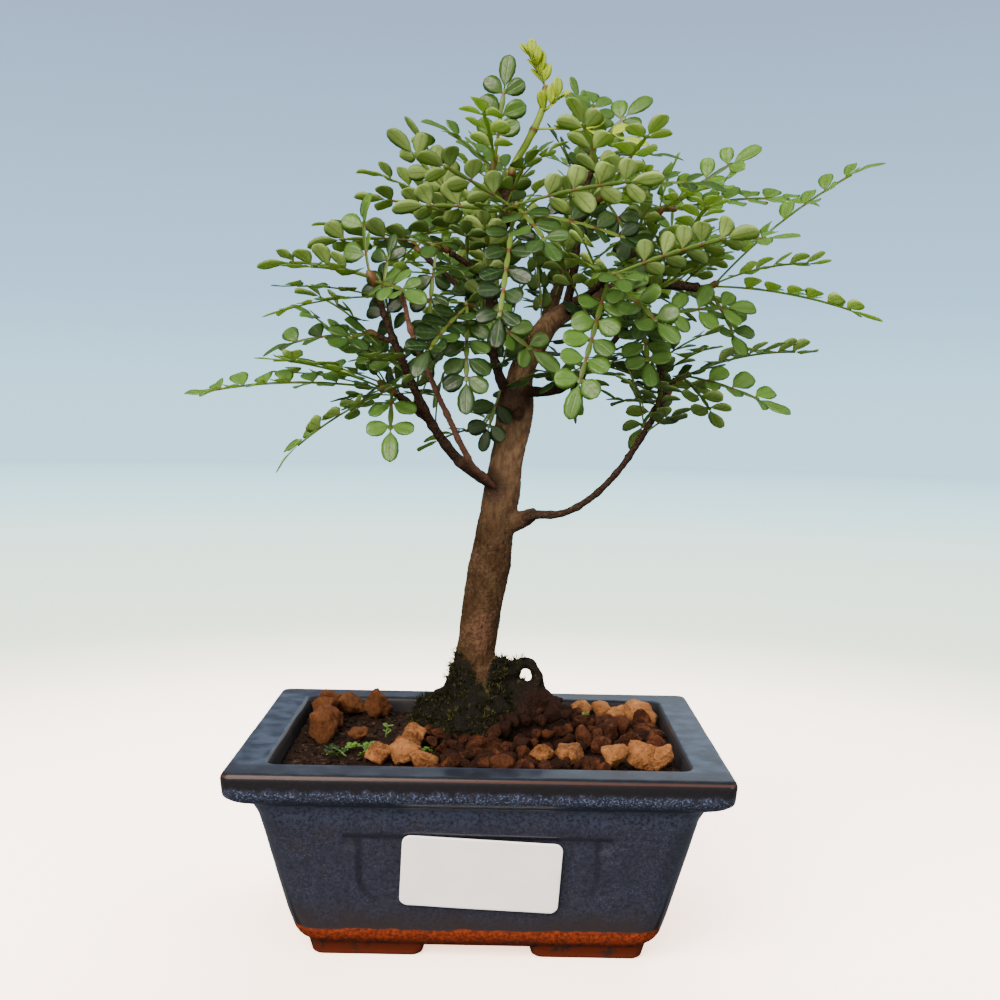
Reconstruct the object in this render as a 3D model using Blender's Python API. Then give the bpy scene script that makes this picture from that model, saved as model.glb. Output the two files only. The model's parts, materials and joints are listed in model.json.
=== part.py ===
"""A Chinese pepper bonsai (Zanthoxylum) growing in a glazed rectangular pot.

Built in metres, +Z up, standing on its pot's feet, seen from -Y. The design values below are
millimetres in the plant's own frame: the pot's centre on x = y = 0 and its feet on z = 0. The
parent empty then carries the whole plant so that its bounding box stands over the origin.
"""

import math
import random

import bmesh
import bpy
from mathutils import Matrix, Vector
from mathutils.bvhtree import BVHTree

MM = 0.001
GAP = 0.3

# Pot: half lengths, half widths and corner radii at each height, outside and inside
CORNER_STEPS = 3
SOIL_CORNER_STEPS = 2
POT_OUTSIDE = [
    (3.0, 42.0, 27.5, 6.0),
    (5.0, 44.2, 29.7, 6.5),
    (6.5, 45.2, 30.6, 7.0),
    (12.0, 46.8, 32.2, 7.0),
    (37.5, 53.0, 38.2, 7.0),
    (41.0, 54.5, 39.5, 6.0),
    (42.6, 58.2, 43.2, 4.0),
    (44.0, 59.6, 44.6, 3.0),
    (48.8, 60.0, 45.0, 2.5),
    (50.0, 59.2, 44.2, 2.0),
]
POT_INSIDE = [
    (50.0, 51.0, 36.0, 3.4),
    (48.8, 50.0, 35.0, 3.0),
    (44.0, 49.6, 34.6, 3.2),
    (8.0, 42.5, 28.0, 5.0),
]
FOOT_SIZE = (28.0, 14.0, 4.0)
FOOT_CENTRE = (27.0, 20.4, 2.0)
FOOT_CORNER = 2.5
FOOT_TAPER = 0.97
DRAIN_RADIUS = 6.0
DRAIN_X = 20.0

# Recessed window panel on the pot's two long faces, drawn on the sloping face
FACE_LOW = (12.0, 32.2)
FACE_HIGH = (37.5, 38.2)
PANEL_DEPTH = 0.7
PANEL_TOP_HALF = 32.0
PANEL_HALF = 28.5
PANEL_TOP = 21.8
PANEL_STEP = 4.0
PANEL_BOTTOM = 3.5
PANEL_CORNER = 8.0
PANEL_ARC_STEPS = 3

# Blank paper label on the front face
LABEL_SIZE = (38.1, 19.0, 0.6)
LABEL_CORNER = 2.0
LABEL_CORNER_STEPS = 2
LABEL_X = 0.7
LABEL_UP_FACE = 12.3
LABEL_TILT = math.radians(-2.8)

# Drainage meshes under the soil
MESH_SIDE = 20.0
MESH_HOLE = 6.0
MESH_HOLE_AT = 4.4
MESH_THICKNESS = 0.8

# Soil: level, with a plain hole for the foot of the trunk
SOIL_LEVEL = 46.0
SOIL_BOTTOM = 9.4
SOIL_CORNER = 4.0
SOIL_CLEARANCE = 0.45
TRUNK_FOOT = (-1.0, 5.0)
PLUG_RADIUS = 5.0
PLUG_BOTTOM = 34.0

# Tan stones on the soil: centre x, centre y and size of each, in groups that touch
TAN_STONES = {
    "tan_grains_back_left": [
        (-46, 29, 8.4), (-45.5, 22, 8.4), (-42, 15.5, 8.4), (-42, 8, 8.8), (-42.5, 0, 9), (-38, 29, 9),
        (-30, 27, 9),
    ],
    "tan_grain_left": [(-32.5, 0, 6.8)],
    "tan_grains_front": [
        (-25, -19, 7.8), (-19, -14, 9), (-18.5, -21, 8), (-13, -26, 7.4), (-17.5, -7.5, 8.4),
    ],
    "tan_grains_right": [(22, -19, 9.4), (15.6, -18, 7)],
    "tan_grains_front_right": [(33, -23, 8.4), (39.5, -20.5, 9.4), (45, -22, 8)],
    "tan_grains_back_right": [(28.5, 30, 6.8), (34, 28.5, 7), (38.5, 26, 7.4), (43.5, 23, 9.4)],
}
TAN_SHAPE = (5, 4, 0.72)

# Lava stones: the part of the soil that they cover, how far apart they stand, their sizes and shape
LAVA_NAMES = ("lava_grains_right", "lava_grains_front")
LAVA_CORNERS = ((-9.0, -31.5), (47.0, 22.0))
LAVA_SPACING = 7.0
LAVA_ROW_SPACING = 6.1
LAVA_STRAY = 0.8
LAVA_SIZE = (7.6, 9.6)
LAVA_SHAPE = (4, 3, 0.56)

# Every stone: reach of its lower and upper corners, their spread, and the room kept round it
STONE_REACH = (0.52, 0.36)
STONE_SKEW = 0.22
STONE_SPREAD = (0.9, 1.08)
STONE_RISE = (0.7, 1.15)
STONE_MARGIN = 0.62
STONE_GROWTH = 1.16
STONE_SEED = 15

# Wood: centre line points x, y, z and radius, each bough starting inside the one that bears it
TRUNK_SIDES = 12
BOUGH_SIDES = 6
TWIG_SIDES = 5
STOUT_BOUGH = 1.85
TRUNK = [
    (-1, 5, 34, 5.0), (-1, 5, 48, 5.0), (-2, 5, 52, 10.0), (-2.4, 5, 59.5, 8.4), (-2.4, 5, 64, 6.4),
    (-2.1, 5, 69, 5.3), (-1.4, 5, 75, 5.1), (0.2, 5, 86, 5.1), (1.6, 5, 95, 5.3), (3.2, 5, 107, 4.9),
    (4.6, 5, 117, 4.6), (6.4, 5, 128, 4.5), (7.2, 5, 136, 4.8), (7.6, 5, 141, 4.0),
]

# The swollen base round the trunk: height, half length and half width of each ring
MOUND_CENTRE = (2.5, 4.5)
MOUND_SIDES = 14
MOUND_LOBES = ((3, 0.06, 0.6), (5, 0.05, 2.0))
MOUND = [
    (46.3, 22.0, 13.0), (50.0, 21.0, 12.4), (54.0, 18.6, 11.0), (57.5, 15.4, 9.2), (60.0, 10.5, 7.2),
    (61.5, 6.0, 5.5),
]
ROOTS = {
    "arch": [
        (3, 4, 64, 3.8), (8, 3.2, 65.2, 2.6), (10, 3, 67.0, 1.2), (12.4, 3, 67.0, 1.0), (13.9, 3, 65.2, 1.1),
        (14.2, 3, 62, 1.5), (14, 2.8, 57, 2.2),
    ],
    "right": [
        (0, 4.5, 59, 5.2), (8, 3.6, 59.4, 4.3), (14, 2.8, 58, 3.8), (19, 1.4, 53.5, 3.4), (21, 0, 49, 3.0),
    ],
    "left": [(-4, 5, 57, 4.8), (-11, 4.4, 56, 3.6), (-15.5, 3.6, 52, 3.0), (-17, 3, 48.5, 2.6)],
    "front": [(-3, 1, 56, 4.8), (-5, -3, 53, 4.0), (-5.5, -6, 49.5, 3.0)],
}
BOUGHS = {
    "main": [
        (7.4, 5, 138, 3.8), (8.5, 6, 144, 3.5), (12, 7, 151, 3.2), (16, 9, 157, 2.9), (23, 12, 162, 2.5),
        (32, 14, 166, 2.0), (43, 12, 168, 1.6), (55, 8, 167, 1.2),
    ],
    "top_back": [
        (12, 7, 151, 2.2), (16, 16, 160, 2.0), (20, 25, 172, 1.7), (24, 33, 183, 1.4), (28, 37, 193, 1.1),
    ],
    "back_left": [
        (9, 6, 145, 2.0), (4, 16, 155, 1.8), (-3, 26, 164, 1.6), (-12, 34, 171, 1.3), (-20, 38, 178, 1.1),
    ],
    "back_right": [(23, 12, 162, 1.8), (32, 23, 166, 1.6), (43, 33, 170, 1.4), (51, 40, 175, 1.1)],
    "top_right": [(20, 10.5, 160, 1.6), (22, 5, 172, 1.4), (23, 2, 184, 1.2), (25, 0, 195, 1.0)],
    "top_right_front": [(23, 2.5, 183, 1.1), (27, -6, 187, 0.95)],
    "main_front": [(43, 12, 168, 1.2), (46.5, 3, 173, 0.95)],
    "right_up": [(32, 14, 166, 1.4), (38, 13, 176, 1.2), (44, 11, 186, 1.0)],
    "front_low": [(20, 10.5, 160, 1.5), (24, -2, 163, 1.3), (27, -14, 165, 1.1), (28, -21, 166, 1.0)],
    "leader": [
        (7, 5, 134, 2.0), (4, 1.5, 140, 1.7), (1.6, -2, 147, 1.5), (0.2, -4, 156, 1.4),
        (0.6, -3.8, 167, 1.3), (3, -2.5, 180, 1.2), (5, -2, 193, 1.2),
    ],
    "leader_low": [(0.2, -4, 157, 1.2), (-3.5, -12, 159, 0.95)],
    "leader_left": [(0.4, -4, 166, 1.2), (-5, -8, 170, 1.1), (-10, -11, 173, 1.0)],
    "leader_front": [(2.6, -3, 178, 1.1), (5, -11, 182, 0.95)],
    "leader_side": [(4.3, -2, 187, 1.0), (1.4, -4, 191, 0.9)],
    "leader_west": [(2, -3, 174, 1.1), (-2.5, -2, 179, 0.9)],
    "inner_back": [(4, 16, 155, 1.4), (0, 18, 167, 1.2), (-4, 19, 179, 1.0)],
    "crown_back": [(20, 25, 172, 1.3), (12, 32, 182, 1.1), (7, 37, 190, 1.0)],
    "low_right": [(8.5, 3, 139, 1.8), (18, -3.5, 139.5, 1.5), (29, -8, 149, 1.1), (36, -7, 158, 1.0)],
    "low_left": [
        (2.5, 3, 114, 1.9), (-7, -6, 121, 1.7), (-14, -13, 131, 1.5), (-20, -18, 144, 1.3),
        (-23, -20, 151, 1.2), (-27, -23, 163, 1.0),
    ],
    "low_left_side": [(-14.5, -13.5, 132, 1.1), (-22, -16, 137.5, 0.95)],
    "low_left_spur": [(-22.5, -19.6, 150, 1.0), (-26.5, -18.5, 151.5, 0.9)],
    "low_left_back": [(-14, -13, 131, 1.3), (-20, -5, 135, 1.1), (-26, 4, 139, 1.0)],
    "bare_twig": [
        (2.5, 3, 113.5, 1.3), (-4, -12, 121, 1.15), (-9, -20, 132, 1.05), (-14, -27, 143, 0.95),
        (-18, -32, 153, 0.9), (-20, -34, 161, 0.85),
    ],
    "right_knob": [(5, 4, 104, 3.0), (11, 3, 106, 2.2), (13.4, 2.2, 107.6, 1.6)],
    "right_low": [
        (9, 3.5, 105, 1.9), (13, 0, 107, 1.6), (19, -2, 107.5, 1.3), (27, -5, 112, 1.2), (34, -8, 120, 1.15),
        (39, -10, 128, 1.15), (43, -12, 137, 1.2), (43, -12, 144, 1.1), (40, -12, 155, 0.95),
    ],
    "right_low_spur": [(43, -12, 140, 1.1), (47, -11, 142.5, 0.9)],
    "right_low_back": [(42, -11.7, 135, 1.0), (45, -3, 137, 0.9), (47, 5, 139, 0.85)],
    "trunk_back": [(5.5, 6, 123, 1.6), (2, 15, 126, 1.2), (-1, 22, 128, 1.0)],
    "cut_stub_left": [(1.4, -2.2, 148, 1.3), (-2.4, -4, 151, 1.1)],
    "cut_stub_knot": [(7, 3, 132, 2.0), (8.4, -1, 133.5, 1.5)],
}

# Shoots: the bough end that bears each, its green stem's points and its leaves. A leaf is the share of
# the stem at its foot, its tip, its leaflet pairs and the direction that its glossy upper side faces.
# Plain shoots have fewer and larger leaflets, cut square.
UP = (0, 0, 1)
FACING = (0, -1, 0.5)
UNDERSIDE = (0, 0.75, 0.65)
SHOOTS = {
    "bright_leader": ("leader", [(9, -2, 202), (12.5, -2, 210), (13.5, -2.5, 216)], [
        (1.0, (7, -4, 226), 2, (0.4, -1, 0.2)),
        (0.55, (39, -10, 200), 3, (0, -0.6, 1)),
    ]),
    "front": ("leader_front", [(6.5, -19, 184)], [
        (0.7, (2, -42, 148), 4, (0, -1, 0.25)),
        (0.55, (-17, -32, 193), 3, UNDERSIDE),
        (1.0, (40, -34, 188), 3, UNDERSIDE),
        (0.4, (34, -36, 176), 3, (0.2, -0.8, 0.6)),
        (0.25, (-20, -27, 176), 3, UNDERSIDE),
        (0.85, (16, -40, 168), 3, FACING),
    ]),
    "right_front": ("front_low", [(30, -26, 167)], [
        (1.0, (60, -46, 175), 3, (0, 0.85, 0.5)),
        (0.56, (19, -44, 133), 4, (0, -1, 0.2)),
        (0.34, (45, -40, 148), 3, FACING),
        (0.78, (34, -52, 156), 2, FACING),
    ]),
    "centre_low": ("low_right", [(38.5, -8, 163)], [
        (0.55, (42, -30, 138), 3, FACING),
        (1.0, (56, -28, 171), 2, UP),
    ]),
    "low_left": ("low_left_side", [(-27, -17, 139)], [
        (1.0, (-76, -10, 136), 5, (0, -0.35, 1)),
        (0.56, (-55, -8, 125), 3, (0.3, 0.2, 1)),
        (0.78, (-57, -26, 143), 3, UP),
        (0.34, (-27, -30, 122), 2, FACING),
    ]),
    "left": ("low_left_spur", [(-30, -18, 152.5)], [
        (0.71, (-55, -23, 144), 3, (0, -0.45, 1)),
        (1.0, (-58, -18, 156), 3, (0, 0.5, 1)),
        (0.42, (-36, -38, 148), 2, FACING),
    ]),
    "left_upper": ("low_left", [(-29, -23.5, 167)], [
        (0.78, (-57, -14, 169), 3, (0, 0.4, 1)),
        (0.56, (-49, -38, 166), 3, UP),
        (1.0, (-38, -28, 186), 2, (-0.6, -0.4, 0.5)),
        (0.34, (-14, -42, 158), 2, FACING),
    ]),
    "mid_left": ("leader_left", [(-15, -13, 175)], [
        (1.0, (-47, -14, 180), 3, (0, 0.6, 1)),
        (0.71, (-26, -32, 150), 3, (-0.4, -0.9, 0.4)),
        (0.42, (-14, -38, 170), 2, FACING),
    ]),
    "centre_front": ("leader_low", [(-5.5, -18, 160)], [
        (0.71, (-22, -36, 142), 3, (-0.2, -1, 0.5)),
        (1.0, (-6, -38, 136), 3, FACING),
        (0.42, (16, -30, 150), 2, FACING),
    ]),
    "upper_left": ("leader_west", [(-6, -2, 183)], [
        (1.0, (-35, -2, 187), 3, (0, 0.5, 1)),
        (0.42, (-30, 8, 175), 3, UP),
        (0.71, (-24, -22, 196), 3, UNDERSIDE),
    ]),
    "apex_left": ("leader_side", [(1, -6, 198)], [
        (1.0, (4, -8, 222), 2, (0, -0.5, 0.3)),
        (0.56, (-17, -13, 205), 3, (0, -0.5, 1)),
        (0.34, (-15, 10, 202), 3, UP),
        (0.78, (-6, -30, 208), 2, (0, -0.7, 0.8)),
    ]),
    "top_right": ("top_right", [(25.5, -1, 203)], [
        (1.0, (22, 2, 225), 2, (0.2, -1, 0.3)),
        (0.71, (40, -2, 214), 3, (0, -0.9, 0.6)),
        (0.42, (46, -12, 203), 3, (0, -0.4, 1)),
    ]),
    "top_front": ("top_right_front", [(30, -12, 189)], [
        (1.0, (56, -24, 188), 3, (0.1, -0.6, 1)),
        (0.78, (40, -34, 202), 3, (0, 0.4, 1)),
        (0.56, (20, -32, 202), 2, UP),
        (0.34, (48, -20, 172), 2, FACING),
    ]),
    "right_upper": ("right_up", [(49, 10, 187.5)], [
        (0.56, (70, 6, 203), 3, (0, -0.7, 0.6)),
        (1.0, (87, 11, 190), 3, (0, -0.55, 1)),
        (0.78, (64, 28, 196), 3, UP),
        (0.34, (62, -14, 188), 3, (0, -0.5, 1)),
    ]),
    "right_centre": ("main_front", [(50, -4, 175.5)], [
        (1.0, (76, -16, 177), 3, (0, -0.5, 1)),
        (0.42, (62, -30, 166), 3, FACING),
        (0.71, (50, -34, 187), 2, UP),
    ]),
    "right_outer": ("main", [(60, 7, 168.5)], [
        (1.0, (101, 0, 197), 4, (-0.5, -0.3, 1)),
        (0.56, (100, -5, 158), 4, (0, 0.2, 1)),
        (0.78, (95, 30, 176), 3, (0, 0.3, 1)),
        (0.34, (63, -14, 148), 3, (0.3, -1, 0.3)),
    ]),
    "right_low": ("right_low_spur", [(51, -10, 144)], [
        (1.0, (92, 8, 156), 3, (0, 0.3, 1)),
        (0.71, (74, -20, 134), 3, (0.2, -0.6, 0.8)),
        (0.42, (62, 10, 130), 2, UP),
    ]),
    "right_inner": ("right_low", [(39.5, -13, 160)], [
        (0.71, (64, -26, 152), 3, FACING),
        (1.0, (30, -34, 158), 2, FACING),
        (0.42, (56, 8, 160), 2, UP),
    ]),
    "crown_back_right": ("top_back", [(30, 39, 199)], [
        (1.0, (44, 46, 214), 2, UP),
        (0.78, (16, 50, 211), 2, UP),
        (0.56, (52, 30, 200), 2, UP),
    ], "plain"),
    "crown_back_left": ("crown_back", [(4, 39, 195)], [
        (1.0, (-16, 44, 208), 2, UP),
        (0.42, (-2, 60, 184), 2, UP),
        (0.71, (-3, 26, 211), 2, UP),
    ], "plain"),
    "crown_inner_left": ("inner_back", [(-7, 19, 185)], [
        (1.0, (-37, 25, 199), 3, (0, 0.2, 1)),
        (0.71, (-24, 6, 208), 2, UP),
        (0.42, (-34, 26, 178), 2, UP),
    ], "plain"),
    "back_left": ("back_left", [(-23, 39, 181)], [
        (1.0, (-52, 42, 186), 2, UP),
        (0.78, (-30, 60, 172), 2, UP),
        (0.56, (-14, 52, 192), 2, UP),
    ], "plain"),
    "back_right": ("back_right", [(54, 42, 178)], [
        (1.0, (80, 48, 184), 2, UP),
        (0.78, (52, 62, 168), 2, UP),
        (0.56, (34, 56, 180), 2, UP),
    ], "plain"),
    "left_back": ("low_left_back", [(-29, 8, 141)], [
        (1.0, (-58, 14, 146), 2, UP),
        (0.78, (-42, 30, 132), 2, UP),
        (0.34, (-20, 24, 152), 2, UP),
    ], "plain"),
    "low_back": ("trunk_back", [(-2, 26, 130)], [
        (0.71, (-20, 38, 121), 2, UP),
        (1.0, (4, 50, 134), 2, UP),
        (0.42, (14, 34, 146), 2, UP),
    ], "plain"),
    "right_low_back": ("right_low_back", [(48, 9, 140)], [
        (0.71, (40, 26, 124), 2, UP),
        (1.0, (62, 32, 140), 2, UP),
        (0.42, (26, 22, 140), 2, UP),
    ], "plain"),
}

# Leaves: a winged midrib with leaflets in pairs and one at the tip
BLADE = 0.7
TEST_BLADE = 1.5
TEST_GROWTH = 1.12
STEM_SIDES = 5
STEM_GAP = 0.345
STEM_START = 1.6
STEM_MARGIN = 1.0
STEM_RADIUS = (0.85, 0.65)
WING_HALF = 0.8
STALK_HALF = 0.5
STALK_SHARE = 0.24
LEAST_STALK = 4.5
LONE_SPACING = 6.5
ARCH = 0.10
LEAFLET_BASE = 1.7
LEAFLET_LENGTH = (5.0, 8.2)
LEAFLET_PER_SPACING = 1.12
WIDTH_PER_SPACING = 0.80
WIDEST_LEAFLET = 6.0
BROADEST = 0.66
PLAIN_LEAFLET = (8.0, 6.0)
PLAIN_BROADEST = 0.9
TERMINAL_LENGTH = 8.4
TERMINAL_WIDTH = 4.6
TERMINAL_BROADEST = 0.55
TERMINAL_NECK = 1.4
LEAN = math.radians(24)
FOLD = (math.radians(8), math.radians(34))
LEAST_SPACING = 5.0
TRIES = 140
SWING = (0.05, 0.018, 0.7)
CLEAR_OF_STEM = 1.7
CLEAR_OF_SIBLINGS = 4.2
GROWTH_SEED = 2

# Finishes: base colour, roughness and metallic of each kind of piece
FINISHES = {
    "glaze": ((0.030, 0.048, 0.085), 0.22, 0.0),
    "paper": ((0.82, 0.83, 0.85), 0.55, 0.0),
    "drain_mesh": ((0.03, 0.03, 0.03), 0.6, 0.0),
    "soil": ((0.035, 0.020, 0.012), 0.95, 0.0),
    "tan_stone": ((0.40, 0.22, 0.11), 0.9, 0.0),
    "lava_stone": ((0.17, 0.055, 0.030), 0.9, 0.0),
    "bark": ((0.17, 0.11, 0.075), 0.85, 0.0),
    "mature_leaf": ((0.055, 0.125, 0.022), 0.35, 0.0),
    "young_leaf": ((0.36, 0.47, 0.05), 0.4, 0.0),
}


# Meshes as plain lists: points in millimetres and faces that point out


def tube(points, radii, sides):
    """A tube of flat-sided rings along a centre line, closed by flat ends."""
    points = [Vector(point) for point in points]
    directions = [(b - a).normalized() for a, b in zip(points, points[1:])]
    across = directions[0].orthogonal().normalized()
    verts = []
    for index, (point, radius) in enumerate(zip(points, radii)):
        before = directions[max(index - 1, 0)]
        after = directions[min(index, len(directions) - 1)]
        along = (before + after).normalized()
        across = (across - along * across.dot(along)).normalized()
        other = along.cross(across)
        for side in range(sides):
            angle = 2 * math.pi * side / sides
            verts.append(point + (across * math.cos(angle) + other * math.sin(angle)) * radius)
    faces = [tuple(reversed(range(sides)))]
    for ring in range(len(points) - 1):
        for side in range(sides):
            low = ring * sides
            step = (side + 1) % sides
            faces.append((low + side, low + step, low + sides + step, low + sides + side))
    faces.append(tuple(range(len(verts) - sides, len(verts))))
    return verts, faces


def bough_tube(rows):
    """The wood along one route, with fewer sides on thin twigs."""
    sides = BOUGH_SIDES if rows[0][3] >= STOUT_BOUGH else TWIG_SIDES
    return tube([row[:3] for row in rows], [row[3] for row in rows], TRUNK_SIDES if rows is TRUNK else sides)


def thicken(middle, normals, triangles, thickness):
    """A closed blade about a middle surface, split into the same triangles on both faces."""
    half = thickness / 2
    count = len(middle)
    verts = [point + normal * half for point, normal in zip(middle, normals)]
    verts += [point - normal * half for point, normal in zip(middle, normals)]
    faces = list(triangles)
    faces += [(a + count, c + count, b + count) for a, b, c in triangles]
    edges = {(t[i], t[(i + 1) % 3]) for t in triangles for i in range(3)}
    for a, b in sorted(edges):
        if (b, a) not in edges:
            faces.append((b, a, a + count))
            faces.append((b, a + count, b + count))
    return verts, faces


class Midrib:
    """The arched midrib of one leaf, from the stem to its tip."""

    def __init__(self, foot, tip, facing):
        self.foot = Vector(foot)
        self.tip = Vector(tip)
        chord = self.tip - self.foot
        self.length = chord.length
        along = chord / self.length
        facing = Vector(facing)
        self.face = (facing - along * facing.dot(along)).normalized()
        self.crest = (self.foot + self.tip) / 2 + self.face * (ARCH * self.length)

    def at(self, share):
        """The point, direction, side and upper normal at a share of the midrib."""
        rest = 1 - share
        point = self.foot * rest**2 + self.crest * (2 * rest * share) + self.tip * share**2
        along = (self.crest - self.foot) * rest + (self.tip - self.crest) * share
        along = along.normalized()
        normal = (self.face - along * self.face.dot(along)).normalized()
        return point, along, along.cross(normal), normal


def pair_shares(length, pairs):
    """Where the leaflet pairs stand along the midrib, with the distance between them."""
    first = max(STALK_SHARE, LEAST_STALK / length)
    last = 1 - (TERMINAL_LENGTH + TERMINAL_NECK) / length
    room = (last - first) * length
    pairs = max(1, min(pairs, 1 + int(room / LEAST_SPACING)))
    spacing = room / (pairs - 1) if pairs > 1 else LONE_SPACING
    shares = [first + (last - first) * i / max(pairs - 1, 1) for i in range(pairs)]
    if pairs == 1:
        shares = [last]
    return shares, spacing


def leaf(foot, tip, facing, pairs, fold, plain, thickness=BLADE, growth=1.0, start=0.0):
    """One compound leaf as a thin arched blade whose outline is cut into leaflets."""
    midrib = Midrib(foot, tip, facing)
    shares, spacing = pair_shares(midrib.length, pairs)
    half_base = LEAFLET_BASE / 2 / midrib.length
    middle = []
    normals = []
    triangles = []

    def put(point, normal):
        middle.append(point)
        normals.append(normal.normalized())
        return len(middle) - 1

    def station(share, half_width):
        point, _, side, normal = midrib.at(share)
        reach = side * half_width
        return put(point - reach, normal), put(point + reach, normal)

    def blade(low, high, along, out, length, width, turn):
        """A leaflet on the edge from low to high, pointing out, its left edge towards `along`."""
        centre = (middle[low] + middle[high]) / 2
        normal = along.cross(out) * turn
        broadest = PLAIN_BROADEST if plain else BROADEST
        near = put(centre + out * (broadest * length) - along * (width / 2), normal)
        far = put(centre + out * (broadest * length) + along * (width / 2), normal)
        corners = [(low, near, high), (near, far, high)]
        if not plain:
            corners.append((near, put(centre + out * length, normal), far))
        for a, b, c in corners:
            triangles.append((a, b, c) if turn < 0 else (a, c, b))

    length = min(max(spacing * LEAFLET_PER_SPACING, LEAFLET_LENGTH[0]), LEAFLET_LENGTH[1])
    width = min(spacing * WIDTH_PER_SPACING, WIDEST_LEAFLET)
    if plain:
        length, width = PLAIN_LEAFLET
    length *= growth
    width *= growth
    left, right = station(start, STALK_HALF)
    for share in shares:
        near_left, near_right = station(share - half_base, WING_HALF)
        far_left, far_right = station(share + half_base, WING_HALF)
        triangles += [(left, right, near_right), (left, near_right, near_left)]
        triangles += [(near_left, near_right, far_right), (near_left, far_right, far_left)]
        _, along, side, normal = midrib.at(share)
        for turn, low, high in ((1, near_right, far_right), (-1, near_left, far_left)):
            raised = side * (turn * math.cos(fold)) + normal * math.sin(fold)
            out = raised * math.cos(LEAN) + along * math.sin(LEAN)
            forward = along * math.cos(LEAN) - raised * math.sin(LEAN)
            blade(low, high, forward, out, length, width, -turn)
        left, right = far_left, far_right
    end_share = 1 - TERMINAL_LENGTH / midrib.length
    neck_left, neck_right = station(end_share, WING_HALF)
    triangles += [(left, right, neck_right), (left, neck_right, neck_left)]
    _, along, side, normal = midrib.at(end_share)
    reach = TERMINAL_LENGTH * growth
    spread = side * (TERMINAL_WIDTH * growth / 2)
    centre = (middle[neck_left] + middle[neck_right]) / 2
    near_left = put(centre + along * (TERMINAL_BROADEST * reach) - spread, normal)
    near_right = put(centre + along * (TERMINAL_BROADEST * reach) + spread, normal)
    end = put(midrib.at(1.0)[0] if growth == 1.0 else centre + along * reach, normal)
    triangles += [(neck_left, neck_right, near_right), (neck_left, near_right, near_left)]
    triangles.append((near_left, near_right, end))
    return thicken(middle, normals, triangles, thickness)


# Growth: every leaf takes the first place near its own that clears the wood and the other leaves


class Shoot:
    """One leafy stem: where it starts, its stem's points and the leaves that found room."""

    def __init__(self, name, bough, points):
        self.name = name
        rows = BOUGHS[bough]
        last = Vector(rows[-1][:3])
        way = (last - Vector(rows[-2][:3])).normalized()
        self.points = [last + way * STEM_GAP, last + way * STEM_START]
        self.points += [Vector(point) for point in points]
        self.plain = "plain" in SHOOTS[name]
        self.leaves = []
        self.trees = []
        self.stem_tree = tree_of(self.stem())

    def radii(self):
        count = len(self.points)
        thick, thin = STEM_RADIUS
        return [thick + (thin - thick) * i / (count - 1) for i in range(count)]

    def stem(self):
        return tube(self.points, self.radii(), STEM_SIDES)

    def at(self, share):
        """The point at a share of the stem, kept inside its end."""
        spans = [(b - a).length for a, b in zip(self.points, self.points[1:])]
        distance = share * (sum(spans) - STEM_MARGIN)
        for a, b, span in zip(self.points, self.points[1:], spans):
            if distance <= span:
                return a.lerp(b, distance / span)
            distance -= span
        return self.points[-1].copy()


def tree_of(mesh):
    return BVHTree.FromPolygons(*mesh)


def has_room(shoot, row, wood_tree, shoots):
    """Whether a slightly larger and thicker copy of the leaf touches nothing."""
    length = (row[1] - row[0]).length
    test = tree_of(leaf(*row, thickness=TEST_BLADE, growth=TEST_GROWTH, start=CLEAR_OF_STEM / length))
    if test.overlap(wood_tree):
        return False
    others = [other for other in shoots if other is not shoot]
    if any(test.overlap(tree) for other in others for tree in [other.stem_tree, *other.trees]):
        return False
    outer = tree_of(leaf(*row, thickness=TEST_BLADE, growth=TEST_GROWTH, start=CLEAR_OF_SIBLINGS / length))
    return not any(outer.overlap(tree) for tree in shoot.trees)


def nudged(row, draw, attempt):
    """A leaf row turned a little about its foot, further with each attempt."""
    foot, tip, *rest = row
    if attempt == 0:
        return row
    reach = (tip - foot).length
    swing = reach * min(SWING[0] + SWING[1] * attempt, SWING[2])
    moved = tip + Vector((draw.uniform(-0.5, 0.5), draw.uniform(-1, 1), draw.uniform(-0.5, 0.5))) * swing
    return foot, foot + (moved - foot).normalized() * reach, *rest


def placed(shoot, row, draw, wood_tree, shoots):
    """Adds the leaf at the first clear place, if there is one."""
    for attempt in range(TRIES):
        tried = nudged(row, draw, attempt)
        if has_room(shoot, tried, wood_tree, shoots):
            shoot.leaves.append(tried)
            shoot.trees.append(tree_of(leaf(*tried)))
            return


def joined(meshes):
    """Several meshes as the points and faces of one."""
    verts = []
    faces = []
    for points, polygons in meshes:
        faces += [tuple(i + len(verts) for i in polygon) for polygon in polygons]
        verts += points
    return verts, faces


def grow():
    """All the shoots with their leaves."""
    wood_tree = tree_of(joined([bough_tube(rows) for rows in [TRUNK, *BOUGHS.values()]]))
    shoots = [Shoot(name, row[0], row[1]) for name, row in SHOOTS.items()]
    for number, shoot in enumerate(shoots):
        draw = random.Random(GROWTH_SEED * 1000 + number)
        for share, tip, pairs, facing in SHOOTS[shoot.name][2]:
            row = (shoot.at(share), Vector(tip), Vector(facing), pairs, draw.uniform(*FOLD), shoot.plain)
            placed(shoot, row, draw, wood_tree, shoots)
    return shoots


# Blender objects


def clear_scene():
    for item in list(bpy.data.objects):
        bpy.data.objects.remove(item, do_unlink=True)


def finish_of(kind):
    """The Principled material of one kind of piece."""
    name = kind.replace("_", " ")
    material = bpy.data.materials.get(name)
    if material:
        return material
    colour, roughness, metallic = FINISHES[kind]
    material = bpy.data.materials.new(name)
    material.use_nodes = True
    shader = material.node_tree.nodes["Principled BSDF"]
    shader.inputs["Base Color"].default_value = (*colour, 1)
    shader.inputs["Roughness"].default_value = roughness
    shader.inputs["Metallic"].default_value = metallic
    material.diffuse_color = (*colour, 1)
    return material


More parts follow.
